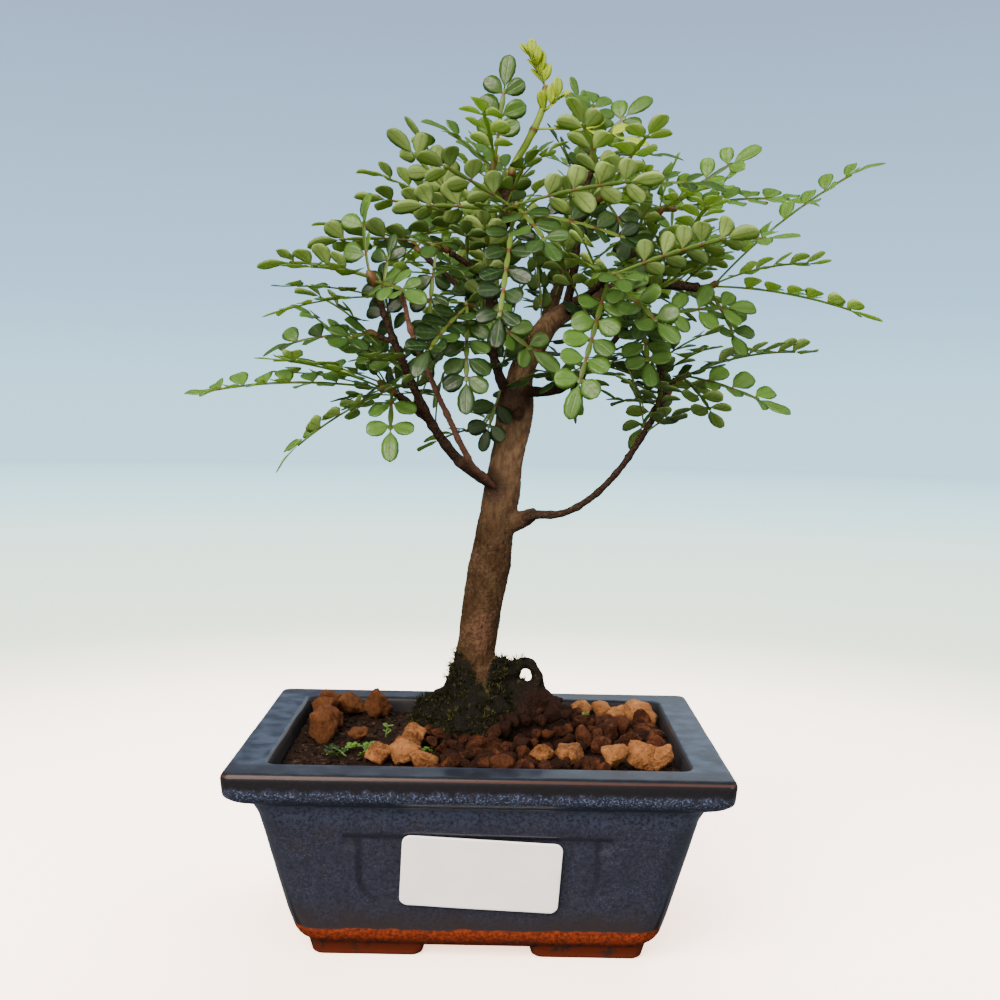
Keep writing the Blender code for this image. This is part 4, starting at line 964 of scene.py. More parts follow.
def pot_body(unevenness):
    outside = filled(rounded_profile(POT_OUTSIDE + POT_INSIDE[:3], 0.8), WALL_STEP)
    inside = filled([np.array(row, float) for row in POT_INSIDE[2:]], INSIDE_STEP)
    bottom = np.array(POT_OUTSIDE[0], float)
    under = [bottom * (1, share, share, share) for share in (0.3, 0.6, 0.85)]
    floor = [inside[-1] * (1, share, share, share) for share in (0.8, 0.45, 0.2)]
    rows = [*under, *outside, *inside[1:], *floor]
    rings = np.array([even_ring(*row) for row in rows])
    points = rings.reshape(-1, 3)
    for side in (-1, 1):
        low, across, up, outward = face_frame(side)
        place = points - low
        flat = np.stack([place @ across, place @ up], 1)
        near = np.abs(place @ outward) < 0.05
        near &= (points[:, 2] > FACE_LOW[0] + 0.5) & (points[:, 2] < FACE_HIGH[0] - 0.5)
        depth = eased(inside_by(flat[near], panel_outline()), -PANEL_EDGE / 2, PANEL_EDGE / 2)
        points[near] -= outward * (PANEL_DEPTH * depth)[:, None]
    middle = points * (1, 1, 0)
    away = middle / np.maximum(np.linalg.norm(middle, axis=1), 1)[:, None]
    wave = lumps(points, 14, 3) * 0.6 + lumps(points, 5, 4) * 0.25
    kept = eased(points[:, 2], 3.5, 8)
    points += away * (np.minimum(wave, 0.1) * unevenness * kept)[:, None]
    body = Heap()
    body.add_skin(points.reshape(rings.shape))
    return body


def pot_foot(sign_x, sign_y):
    half_x, half_y, height = FOOT_SIZE[0] / 2, FOOT_SIZE[1] / 2, FOOT_SIZE[2]
    rings = []
    for z, inset in FOOT_RINGS:
        scale = (FOOT_TAPER + (1 - FOOT_TAPER) * z / height) * (1 - inset / half_y)
        ring = []
        for corner, step in itertools.product(range(4), range(FOOT_DETAIL + 1)):
            x, y = on_corner(corner, step / FOOT_DETAIL, half_x, half_y, FOOT_CORNER)
            ring.append((sign_x * FOOT_CENTRE[0] + x * scale, sign_y * FOOT_CENTRE[1] + y * scale, z))
        rings.append(ring)
    body = Heap()
    body.add_skin(rings)
    return body


def combined(piece, bodies, operation):
    """Joins closed bodies to the piece, or cuts them from it."""
    group = bpy.data.collections.new(operation.lower())
    bpy.context.scene.collection.children.link(group)
    for number, body in enumerate(bodies):
        helper = bpy.data.objects.new(f"helper_{number}", body.mesh(f"helper_{number}"))
        group.objects.link(helper)
    join = piece.modifiers.new(operation.title(), "BOOLEAN")
    join.operation = operation
    join.operand_type = "COLLECTION"
    join.collection = group
    join.solver = "MANIFOLD"
    settled(piece)
    for helper in list(group.objects):
        helper_mesh = helper.data
        bpy.data.objects.remove(helper, do_unlink=True)
        bpy.data.meshes.remove(helper_mesh)
    bpy.data.collections.remove(group)


def make_pot(settings, finish):
    piece = pot_body(settings.unevenness / MM).piece("fine_pot", finish)
    feet = [pot_foot(sx, sy) for sx in (-1, 1) for sy in (-1, 1)]
    combined(piece, feet, "UNION")
    drains = []
    for sign in (-1, 1):
        body = Heap()
        line = [(sign * DRAIN_X, 0, z) for z in DRAIN_HEIGHTS]
        body.add_skin(tube_rings(line, [DRAIN_RADIUS] * len(line), DRAIN_SIDES))
        drains.append(body)
    combined(piece, drains, "DIFFERENCE")
    smooth(piece.data)
    piece.data.set_sharp_from_angle(angle=POT_SHARP_EDGE)
    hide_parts("pot")


LABEL_DETAIL = 12
LABEL_RINGS = ((0.0, 0.25), (0.04, 0.06), (0.14, 0.0), (0.46, 0.0), (0.56, 0.06), (0.6, 0.25))
LABEL_INNER = (0.94, 0.86, 0.74, 0.6, 0.45, 0.3, 0.15)


def make_label(settings, finish):
    """A paper label with soft edges, slightly wavy over the recess behind it."""
    origin, across, up, outward = face_frame(-1)
    half_x, half_y = LABEL_SIZE[0] / 2, LABEL_SIZE[1] / 2
    turn = np.array(Matrix.Rotation(LABEL_TILT, 2))
    outline = [on_corner(corner, step / LABEL_DETAIL, half_x, half_y, LABEL_CORNER)
               for corner, step in itertools.product(range(4), range(LABEL_DETAIL + 1))]
    outline = smooth_loop(np.array(outline))
    rings = [(outline * share, 0.0) for share in reversed(LABEL_INNER)]
    rings += [(outline * (1 - inset / np.abs(outline).max(0)), height) for height, inset in LABEL_RINGS]
    rings += [(outline * share, LABEL_SIZE[2]) for share in LABEL_INNER]
    placed_rings = []
    for flat, height in rings:
        turned = flat @ turn.T + (LABEL_X, LABEL_UP_FACE)
        wave = lumps(np.column_stack([turned, np.zeros(len(turned))]), 9, 7) * settings.wave / MM
        lift = GAP + height + np.clip(wave, -0.12, 0.12) * (height > 0.3)
        placed_rings.append(origin + np.outer(turned[:, 0], across) + np.outer(turned[:, 1], up)
                            + np.outer(lift, outward))
    body = Heap()
    body.add_skin(placed_rings)
    piece = body.piece("paper_label", finish)
    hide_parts("label")


def smooth_loop(outline, spacing=1.2):
    """The outline with its long straight sides split into short ones."""
    out = []
    for start, end in zip(outline, np.roll(outline, -1, axis=0)):
        steps = max(1, int(np.linalg.norm(end - start) / spacing))
        out += [start + (end - start) * step / steps for step in range(steps)]
    return np.array(out)


# Ground: soil, crumbs and stones


SOIL_COLUMNS = 132
SOIL_ROWS = 92
SLOPE_CENTRE = (22.0, 9.0)
SLOPE_SPREAD = (9.0, 8.0)
SLOPE_HEIGHT = 1.6


def soil_height(x, y, relief):
    """The soil's height in millimetres at flat places."""
    flat = np.column_stack([x, y, np.zeros_like(x)])
    uneven = lumps(flat, 6, 11) * 0.6 + lumps(flat, 2.2, 12) * 0.5 + lumps(flat, 1.0, 13) * 0.3
    height = SOIL_LEVEL + relief * uneven
    slope = ((x - SLOPE_CENTRE[0]) / SLOPE_SPREAD[0]) ** 2 + ((y - SLOPE_CENTRE[1]) / SLOPE_SPREAD[1]) ** 2
    mound = ((x - MOUND_CENTRE[0]) / 27) ** 2 + ((y - MOUND_CENTRE[1]) / 18) ** 2
    return height + SLOPE_HEIGHT * np.exp(-slope) + 1.2 * np.exp(-(mound**2))


def soil_half(height):
    top, bottom = POT_INSIDE[2], POT_INSIDE[3]
    share = min((height - bottom[0]) / (top[0] - bottom[0]), 1)
    half_x = bottom[1] + (top[1] - bottom[1]) * share - SOIL_CLEARANCE
    half_y = bottom[2] + (top[2] - bottom[2]) * share - SOIL_CLEARANCE
    return half_x, half_y


def make_soil(settings, finish):
    half_x, half_y = soil_half(SOIL_LEVEL)
    columns, rows = np.linspace(-half_x, half_x, SOIL_COLUMNS), np.linspace(-half_y, half_y, SOIL_ROWS)
    x, y = np.meshgrid(columns, rows, indexing="ij")
    centre_x, centre_y = half_x - SOIL_CORNER, half_y - SOIL_CORNER
    over_x, over_y = np.abs(x) - centre_x, np.abs(y) - centre_y
    reach = np.hypot(over_x, over_y)
    outside = (over_x > 0) & (over_y > 0) & (reach > SOIL_CORNER)
    pull = np.where(outside, SOIL_CORNER / np.maximum(reach, 1e-9), 1)
    x = np.where(outside, np.sign(x) * (centre_x + over_x * pull), x)
    y = np.where(outside, np.sign(y) * (centre_y + over_y * pull), y)
    z = soil_height(x.ravel(), y.ravel(), settings.relief / MM).reshape(x.shape)
    top = np.stack([x, y, z], 2).reshape(-1, 3)
    index = np.arange(len(top)).reshape(x.shape)
    quads = np.stack([index[:-1, :-1], index[1:, :-1], index[1:, 1:], index[:-1, 1:]], 2).reshape(-1, 4)
    edge = np.concatenate([index[:-1, 0], index[-1, :-1], index[:0:-1, -1], index[0, :0:-1]])
    rim = top[edge]
    levels = [top]
    sides = []
    before = edge
    count = len(top)
    for height in SOIL_RINGS:
        at_x, at_y = soil_half(height)
        ring = rim * (at_x / half_x, at_y / half_y, 0) + (0, 0, height)
        here = count + np.arange(len(edge))
        count += len(edge)
        sides.append(np.stack([here, np.roll(here, -1), np.roll(before, -1), before], 1))
        levels.append(ring)
        before = here
    levels.append(np.array([[0, 0, SOIL_BOTTOM]]))
    cap = np.stack([np.full(len(edge), count), np.roll(before, -1), before], 1)
    body = Heap()
    body.add(np.vstack(levels), quads, *sides, cap)
    add_crumbs(body, settings)
    piece = body.piece("soil_surface", finish)
    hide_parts("soil")


def sphere(levels):
    """Points and triangles of a ball made from an icosahedron."""
    golden = (1 + 5**0.5) / 2
    points = [(-1, golden, 0), (1, golden, 0), (-1, -golden, 0), (1, -golden, 0),
              (0, -1, golden), (0, 1, golden), (0, -1, -golden), (0, 1, -golden),
              (golden, 0, -1), (golden, 0, 1), (-golden, 0, -1), (-golden, 0, 1)]
    faces = [(0, 11, 5), (0, 5, 1), (0, 1, 7), (0, 7, 10), (0, 10, 11), (1, 5, 9), (5, 11, 4),
             (11, 10, 2), (10, 7, 6), (7, 1, 8), (3, 9, 4), (3, 4, 2), (3, 2, 6), (3, 6, 8),
             (3, 8, 9), (4, 9, 5), (2, 4, 11), (6, 2, 10), (8, 6, 7), (9, 8, 1)]
    points = [unit(np.array(point, float)) for point in points]
    for _ in range(levels):
        halves = {}
        finer = []

        def half(a, b):
            key = (min(a, b), max(a, b))
            if key not in halves:
                halves[key] = len(points)
                points.append(unit(points[a] + points[b]))
            return halves[key]

        for a, b, c in faces:
            ab, bc, ca = half(a, b), half(b, c), half(c, a)
            finer += [(a, ab, ca), (b, bc, ab), (c, ca, bc), (ab, bc, ca)]
        faces = finer
    return np.array(points), np.array(faces)


BALLS = [sphere(levels) for levels in range(4)]
ROCK_PLANES = 16
ROCK_SHARPNESS = 24


def rock(draw, detail, roughness):
    """An angular stone about the origin, of half size one."""
    points, faces = BALLS[detail]
    blend = np.zeros(len(points))
    for _ in range(ROCK_PLANES):
        direction = unit(np.array([draw.gauss(0, 1) for _ in range(3)]))
        offset = draw.uniform(0.52, 0.92)
        blend += np.maximum(points @ direction / offset, 0) ** ROCK_SHARPNESS
    radius = np.minimum(blend ** (-1 / ROCK_SHARPNESS), 1.15)
    seed = draw.randrange(1000)
    shaped = points * radius[:, None]
    uneven = 0.6 * lumps(shaped, 0.55, seed) + 0.6 * lumps(shaped, 0.24, seed + 1)
    uneven += 0.5 * lumps(shaped, 0.12, seed + 2)
    return shaped * (1 + roughness * uneven)[:, None], faces


def turned(points, draw, tilt=0.35):
    """The points turned by a random amount about the vertical and tipped a little."""
    tip = Matrix.Rotation(draw.uniform(-tilt, tilt), 3, "X")
    spin = Matrix.Rotation(draw.uniform(0, 2 * math.pi), 3, "Z")
    return points @ np.array(spin @ tip).T


# Crumbs: how many, their half sizes and the detail of their shape
CRUMBS = ((420, (0.5, 1.0), 1), (1500, (0.25, 0.5), 0))
CRUMB_ROUGHNESS = 0.12
CRUMB_LIFT = 0.35
CRUMB_SEED = 5


def add_crumbs(body, settings):
    """Loose grains of soil lying on the surface."""
    draw = random.Random(CRUMB_SEED)
    half_x, half_y = soil_half(SOIL_LEVEL)
    for count, sizes, detail in CRUMBS:
        for _ in range(count):
            size = draw.uniform(*sizes) * settings.crumb / MM
            x = draw.uniform(-half_x + 1, half_x - 1)
            y = draw.uniform(-half_y + 1, half_y - 1)
            points, faces = rock(draw, detail, CRUMB_ROUGHNESS)
            points = turned(points * (1, draw.uniform(0.7, 1), 0.75), draw) * size
            level = soil_height(np.array([x]), np.array([y]), settings.relief / MM)[0]
            body.add(points + (x, y, level + size * CRUMB_LIFT), faces)


def within_pot(x, y, size):
    limit_x = POT_INSIDE[2][1] - size * STONE_MARGIN
    limit_y = POT_INSIDE[2][2] - size * STONE_MARGIN
    return min(max(x, -limit_x), limit_x), min(max(y, -limit_y), limit_y)


def add_stone(body, x, y, size, shape, draw, detail, roughness, base=SOIL_LEVEL,
              dull=(0, 1), pale=(0, 1)):
    """A stone of this size whose narrow side and height are parts of it, resting on the base."""
    points, faces = rock(draw, detail, roughness)
    points = turned(points * (0.5, 0.5 * shape[0], 0.5 * shape[1]), draw, 0.5) * size
    lift = base - points[:, 2].min() - STONE_SINK
    tint = (draw.uniform(*dull), draw.uniform(*pale), 0)
    body.add(points + (x, y, lift), faces, stone=tint)


STONE_SCENE_SEED = 21
# Lava layers: spacing, sizes, detail, lowest height over the soil and its spread
LAVA_LAYERS = ((5.6, (5.6, 8.6), 3, 0.0, 0.0), (4.76, (3.6, 6.0), 2, 0.8, 1.2))
LAVA_ROW_SHARE = 0.87
LAVA_STRAY_SHARE = 0.34
LAVA_SMOOTHING = 0.75
# Tan stones left of each place: how dull and how pale they are
TAN_DETAIL = 3
TAN_SHADES = [
    (-27.0, (0.85, 1.0), (0.0, 0.1)), (-10.0, (0.2, 0.6), (0.4, 1.0)), (26.0, (0.6, 0.9), (0.0, 0.5)),
    (99.0, (0.0, 0.4), (0.8, 1.0)),
]


def make_tan_stones(settings, finish):
    draw = random.Random(STONE_SCENE_SEED)
    for name, rows in TAN_STONES.items():
        body = Heap()
        for x, y, size in rows:
            x, y = within_pot(x, y, size)
            shape = (draw.uniform(0.72, 1.0), draw.uniform(0.74, 0.95))
            dull, pale = next(shades for edge, *shades in TAN_SHADES if x < edge)
            add_stone(body, x, y, size * TAN_SWELLING, shape, draw, TAN_DETAIL, settings.roughness,
                      dull=dull, pale=pale)
        piece = body.piece("fine_" + name, finish)
        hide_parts(name)


def make_lava_stones(settings, finish):
    """Angular grains wherever a packed lava piece lies below."""
    trees = {}
    for name in LAVA_NAMES:
        data = frame["nodes"][name].data
        data.calc_loop_triangles()
        faces = [tuple(t.vertices) for t in data.loop_triangles]
        trees[name] = BVHTree.FromPolygons([Vector(point) for point in points_of(data)], faces)
    draw = random.Random(STONE_SCENE_SEED + 1)
    bodies = {name: Heap() for name in LAVA_NAMES}
    (left, front), (right, back) = LAVA_CORNERS
    roughness = settings.roughness * LAVA_SMOOTHING
    for spacing, sizes, detail, least, spread in LAVA_LAYERS:
        for x in np.arange(left - 4, right + 4, spacing):
            for y in np.arange(front - 3, back + 4, spacing * LAVA_ROW_SHARE):
                stray = spacing * LAVA_STRAY_SHARE
                px = x + draw.uniform(-stray, stray)
                py = y + draw.uniform(-stray, stray)
                size = draw.uniform(*sizes) * settings.grain
                for name, tree in trees.items():
                    hit = tree.ray_cast(Vector((px, py, 80)), Vector((0, 0, -1)))[0]
                    if hit is None:
                        continue
                    shape = (draw.uniform(0.6, 0.95), draw.uniform(0.6, 0.95))
                    base = SOIL_LEVEL + (least + draw.uniform(0, spread) if least else 0)
                    px, py = within_pot(px, py, size)
                    add_stone(bodies[name], px, py, size, shape, draw, detail, roughness, base)
                    break
    for name, body in bodies.items():
        piece = body.piece("fine_" + name, finish)
        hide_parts(name)
    make_slope_stones(settings, finish)


# Rings of grains piled against the swollen base: reach beyond it, height, first and last angle
PILE = [
    (2.2, 46.9, -172, 84), (0.6, 49.4, -150, 78), (-1.6, 52.2, -96, 66), (-4.4, 54.6, -60, 52),
    (-8.0, 56.6, -40, 36),
]
PILE_SPACING = 3.7
PILE_SIZES = (3.8, 6.6)
PILE_FOOT = (21.0, 12.4)
PILE_DETAIL = 2
# How dull and how pale the grains are below and above this height
PILE_DARK = 50.0
PILE_SHADES = (((0.2, 1.0), (0.0, 1.0)), ((0.8, 1.0), (0.0, 0.3)))


def make_slope_stones(settings, finish):
    """Lava grains piled against the swollen base, in front of it and to its right."""
    draw = random.Random(STONE_SCENE_SEED + 2)
    body = Heap()
    for reach, height, first, last in PILE:
        half_x, half_y = PILE_FOOT[0] + reach, PILE_FOOT[1] + reach
        angle = math.radians(first)
        while angle < math.radians(last):
            way = math.hypot(half_x * math.sin(angle), half_y * math.cos(angle))
            angle += PILE_SPACING * draw.uniform(0.8, 1.2) / way
            x = MOUND_CENTRE[0] + half_x * math.cos(angle) + draw.uniform(-0.7, 0.7)
            y = MOUND_CENTRE[1] + half_y * math.sin(angle) + draw.uniform(-0.7, 0.7)
            size = draw.uniform(*PILE_SIZES)
            shape = (draw.uniform(0.6, 0.95), draw.uniform(0.6, 0.9))
            base = height + draw.uniform(-0.6, 0.6)
            dull, pale = PILE_SHADES[height >= PILE_DARK]
            add_stone(body, x, y, size, shape, draw, PILE_DETAIL, settings.roughness, base, dull, pale)
    piece = body.piece("piled_lava_grains", finish)


# Wood


WOOD_STEP = 0.7
NODE_SPACING = 6.5
NODE_WIDTH = 0.7
NODE_SWELLING = 0.26
THIN_BOUGH = (1.2, 2.6)
THIN_SHARE = 0.80
MOUND_DETAIL = 72
WOOD_SEED = 9
MOSS_TOP = 68.0
MOSSY_ARCH = 0.55
THIN_SIDES = 10
THICK_SIDES = 16
BOUGH_SWAY = 0.2
BOUGH_INSET = 0.985
SMOOTH_BOUGH = 3.5
# The bud that ends a thin bough: how far along it each ring stands and its swelling
BUD_BOUGH = 1.3
END_BUD = ((-1.6, 0.9), (-0.8, 1.22), (-0.2, 1.25), (0.15, 0.85))
WOOD_BOTTOM = 34.2
SHADE_SPREAD = 12
GUIDES_NEAR = 9


def knobbly(line, draw):
    """A bough's radii with swollen nodes along it."""
    distance = travelled(line[:, :3])
    radii = line[:, 3] * (THIN_SHARE + (1 - THIN_SHARE) * eased(line[:, 3], *THIN_BOUGH))
    at = draw.uniform(1.0, NODE_SPACING)
    while at < distance[-1]:
        swelling = NODE_SWELLING * draw.uniform(0.5, 1.3)
        radii += swelling * np.exp(-(((distance - at) / NODE_WIDTH) ** 2))
        at += NODE_SPACING * draw.uniform(0.7, 1.3)
    return radii


def wood_heap():
    """Every route of the wood as overlapping closed tubes, with the points that say what each is."""
    body = Heap()
    draw = random.Random(WOOD_SEED)
    guides = []
    routes = {"trunk": TRUNK, **ROOTS, **BOUGHS}
    for name, rows in routes.items():
        line = smooth_line(rows, WOOD_STEP)
        bough = name in BOUGHS
        radii = knobbly(line, draw) if bough and rows[0][3] < SMOOTH_BOUGH else line[:, 3]
        points = line[:, :3].copy()
        if bough:
            sway = np.column_stack([lumps(points, 6, 20 + axis) for axis in range(3)])
            points += sway * BOUGH_SWAY * eased(travelled(points), 3, 8)[:, None]
        if name == "arch":
            radii = radii + MOSSY_ARCH
        inset = BOUGH_INSET if bough else 1.0
        body.add_skin(tube_rings(points, radii * inset, THICK_SIDES if radii.max() > 3 else THIN_SIDES))
        for point, radius in zip(points, radii):
            guides.append((point, radius, name))
        if bough and rows[-1][3] < BUD_BOUGH:
            tip, way = points[-1], unit(points[-1] - points[-3])
            bud = [tip + way * ahead for ahead, _ in END_BUD]
            body.add_skin(tube_rings(bud, [radii[-1] * swelling for _, swelling in END_BUD], THIN_SIDES))
    rings = []
    for height, half_x, half_y in smooth_line([(0, 0, *row) for row in MOUND], 1.0)[:, 2:]:
        angle = turns(MOUND_DETAIL)
        lobe = 1 + sum(depth * np.cos(count * angle + turn) for count, depth, turn in MOUND_LOBES)
        ring_x = MOUND_CENTRE[0] + half_x * lobe * np.cos(angle)
        ring_y = MOUND_CENTRE[1] + half_y * lobe * np.sin(angle)
        rings.append(np.column_stack([ring_x, ring_y, np.full(MOUND_DETAIL, height)]))
    body.add_skin(rings)
    return body, guides


def bark_relief(points, radius, moss):
    """How far the bark stands out at each point, in millimetres."""
    stretched = points * (1, 1, 0.45)
    ridges = 1 - np.abs(lumps(stretched, 2.3, 31)) * 2
    plates = lumps(stretched, 1.1, 32)
    grain = lumps(points, 0.55, 33)
    thick = eased(radius, 1.5, 4.5)
    bark = thick * (0.14 * ridges + 0.12 * plates) + (0.08 + 0.06 * thick) * grain
    bark += thick * 0.40 * lumps(points * (1, 1, 0.5), 5.0, 36)
    pads = lumps(points, 4.6, 34) * 1.25 + lumps(points, 2.0, 35) * 0.7 + lumps(points, 0.8, 37) * 0.3
    return bark * (1 - moss) + moss * 0.8 * pads


def spread_over(data, values, times):
    """Values at the mesh's points, evened out along its edges."""
    ends = np.empty(len(data.edges) * 2, np.int32)
    data.edges.foreach_get("vertices", ends)
    ends = ends.reshape(-1, 2)
    count = np.bincount(ends.ravel(), minlength=len(values)) + 1
    for _ in range(times):
        total = values.copy()
        for column in range(values.shape[1]):
            total[:, column] += np.bincount(ends[:, 0], values[ends[:, 1], column], len(values))
            total[:, column] += np.bincount(ends[:, 1], values[ends[:, 0], column], len(values))
        values = total / count[:, None]
    return values


def make_wood(settings, finish):
    body, guides = wood_heap()
    piece = body.piece("bark_and_boughs", finish)
    remesh = piece.modifiers.new("Remesh", "REMESH")
    remesh.mode = "VOXEL"
    remesh.voxel_size = settings.detail
    relax = piece.modifiers.new("Relax", "SMOOTH")
    relax.factor = 0.5
    relax.iterations = 3
    settled(piece)
    data = piece.data
    points = points_of(data)
    normals = numbers_in(data.vertex_normals, "vector")
    tree = KDTree(len(guides))
    for number, (point, _, _) in enumerate(guides):
        tree.insert(Vector(point), number)
    tree.balance()
    reach = np.array([guide[1] for guide in guides])
    found = [tree.find_n(Vector(point), GUIDES_NEAR) for point in points]
    nearest = np.array([min(rows, key=lambda row: row[2] - reach[row[1]])[1] for rows in found])
    radius = reach[nearest]
    upper = normals[:, 2] * 0.5 + 0.5
    patch = lumps(points, 5.5, 40) * 0.5 + lumps(points, 2.0, 41) * 0.35
    flank = np.clip(points[:, 0] + 2, -6, 4)
    low = 1 - eased(points[:, 2] + patch * 9 + flank, MOSS_TOP - 9, MOSS_TOP + 3)
    moss = np.clip(low * (0.45 + 0.75 * upper + 0.8 * patch), 0, 1)
    root = np.array([guide[2] in ROOTS for guide in guides])[nearest]
    moss = np.where(root, np.maximum(moss, 0.72 + 0.3 * patch), moss)
    points += normals * bark_relief(points, radius, moss)[:, None]
    points[:, 2] = np.maximum(points[:, 2], WOOD_BOTTOM)
    set_points(data, points)
    young = 1 - eased(radius, 1.3, 2.6)
    red = np.clip(eased(lumps(points, 4.0, 42) + 0.3 * lumps(points, 1.2, 43), 0.1, 0.8), 0, 1)
    twig = np.array([guide[2] == "bare_twig" for guide in guides])[nearest]
    red = np.where(twig, 1.0, red * (1 - young * 0.4))
    shades = spread_over(data, np.column_stack([moss, young, red]), SHADE_SPREAD)
    layer = data.attributes.new("bark", "FLOAT_VECTOR", "POINT")
    layer.data.foreach_set("vector", shades.astype(np.float32).ravel())
    smooth(data)
    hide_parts("trunk_and_branches")
    return piece


TUFT_BLADES = 5
TUFT_SEED = 14
MOSS_RISE = (0, 0, 0, 0.55, 0.55, 0.55, 1)
MOSS_FACES = (((0, 1, 4, 3), (1, 2, 5, 4), (2, 0, 3, 5)), ((2, 1, 0), (3, 4, 6), (4, 5, 6), (5, 3, 6)))


def make_moss(settings, finish, wood):
    """Short upright leaves of moss on the swollen base and its roots."""
    data = wood.data
    points = points_of(data)
    normals = numbers_in(data.vertex_normals, "vector")
    moss = numbers_in(data.attributes["bark"].data, "vector")[:, 0]
    patch = lumps(points, 3.5, 50) * 0.5 + 0.5
    earth = eased(points[:, 0] + 4 * lumps(points, 4.0, 51), 5, 14)
    bed = np.flatnonzero((moss > 0.4) & (points[:, 2] > 46.6) & (patch * (1 - 0.8 * earth) > 0.34))
    draw = np.random.RandomState(TUFT_SEED)
    chosen = draw.choice(bed, size=min(settings.tufts, len(bed)), replace=False)
    body = Heap()
    corner = turns(3)
    for index in chosen:
        root = points[index] - normals[index] * 0.15
        lively = draw.uniform(0, 1)
        tint = np.column_stack([MOSS_RISE, np.full(7, lively), np.zeros(7)])
        for _ in range(TUFT_BLADES):
            lean = draw.normal(0, 0.6, 3)
            way = unit(normals[index] + lean + (0, 0, 0.35))
            length = draw.uniform(0.4, 1.3) ** 2 * settings.tuft_height / MM
            across = unit(np.cross(way, (0.31, 0.87, 0.38)))
            other = np.cross(way, across)
            around = np.outer(np.cos(corner), across) + np.outer(np.sin(corner), other)
            start = root + draw.normal(0, 0.3, 3) * (1, 1, 0.4)
            middle = start + way * length * 0.55 + (0, 0, 0.05 * length)
            tip = start + way * length + (0, 0, 0.1 * length)
            blade = np.vstack([start + 0.10 * around, middle + 0.08 * around, tip])
            body.add(blade, *MOSS_FACES, moss=tint)
    piece = body.piece("moss_tufts", finish)


# Leaves


LEAFLET_ROWS = 12
LEAFLET_COLUMNS = 4
LEAFLET_STALK = 0.07
LEAFLET_STALK_HALF = 0.17
LEAFLET_WIDEST = 0.58
CRENATION = 0.022
KEEL = 0.22
CURL = 0.15
RACHIS_STEPS = 6
RACHIS_SECTION = (0.10, 0.24, 0.08, -0.12, -0.26, -0.12, 0.08, 0.24)
RACHIS_SIDES = len(RACHIS_SECTION)
RACHIS_HALF = 0.36
RACHIS_WING = 0.34
LEAF_SEED = 77
LEAFLET_SLIMNESS = (0.66, 0.82)
VISUAL_FOLD = 0.8
TERMINAL_SLIMNESS = 0.92
EXTRA_LEAN = 0.14
INNER_LEAFLET = 0.94
# Distance from the crown's centre over which the painted light on the leaves grows
PAINTED_LIGHT_REACH = 84.0
YOUNG_LEAFLET = (5.4, 0.52)
YOUNG_SPACING = 1.9


def leaflet_grid():
    """Shares along and across a leaflet, which side each point is on, and its faces."""
    rows, columns = LEAFLET_ROWS, LEAFLET_COLUMNS
    share = np.arange(rows + 1) / rows
    along = 0.55 * share + 0.45 * (1 - np.cos(math.pi * share)) / 2
    points = []
    top = {}
    bottom = {}
    for i in range(rows + 1):
        for j in range(columns + 1):
            across = 2 * j / columns - 1
            edge = i in (0, rows) or j in (0, columns)
            top[i, j] = len(points)
            points.append((along[i], across, 0 if edge else 1, i))
            bottom[i, j] = top[i, j]
            if not edge:
                bottom[i, j] = len(points)
                points.append((along[i], across, -1, i))
    faces = []
    for i in range(rows):
        for j in range(columns):
            corners = ((i, j), (i + 1, j), (i + 1, j + 1), (i, j + 1))
            faces.append([top[corner] for corner in corners])
            faces.append([bottom[corner] for corner in reversed(corners)])
    return np.array(points, float), np.array(faces)


LEAFLET_POINTS, LEAFLET_FACES = leaflet_grid()


def leaflet_width(share):
    """Half of the width at shares of the length, as a part of the leaflet's greatest width."""
    t = np.clip((share - LEAFLET_STALK) / (1 - LEAFLET_STALK), 0, 1)
    low = np.maximum(1 - ((LEAFLET_WIDEST - t) / LEAFLET_WIDEST) ** 2, 0) ** 0.85
    high = np.maximum(1 - ((t - LEAFLET_WIDEST) / (1 - LEAFLET_WIDEST)) ** 2.3, 0) ** 0.5
    return 0.5 * np.where(t < LEAFLET_WIDEST, low, high)


def add_leaflet(body, base, out, across, size, draw, tint, thickness, youth=0.0):
    """One crenate leaflet: its base, its direction, the direction across it and its length and width."""
    length, width = size
    along, side_share, side, row = LEAFLET_POINTS.T
    half = np.maximum(leaflet_width(along) * width, LEAFLET_STALK_HALF * min(1, length / 6))
    scallop = 1 + CRENATION * np.where(row % 2 == 0, 1, -1) * (np.abs(side_share) == 1) * (along > 0.2)
    reach = along * length
    spread = side_share * half * scallop
    keel = KEEL * draw.uniform(0.3, 1.5)
    curl = CURL * draw.uniform(-0.4, 1.6)
    wave = draw.uniform(-0.05, 0.05) * width
    rise = keel * np.abs(spread) - curl * reach**2 / length - 0.10 * np.abs(spread) ** 2 / width
    rise += wave * np.sin(3 * along * math.pi) * np.abs(side_share)
    body_share = np.minimum(half / (0.5 * width), 1)
    rise += side * thickness / 2 * np.sqrt(body_share) * (1 - 0.45 * np.abs(side_share))
    normal = np.cross(out, across)
    points = base + np.outer(reach, out) + np.outer(spread, across) + np.outer(rise, normal)
    blade = np.column_stack([side_share, along, side])
    growth = np.broadcast_to((tint, youth, 0), (len(points), 3))
    body.add(points, LEAFLET_FACES, blade=blade, growth=growth)


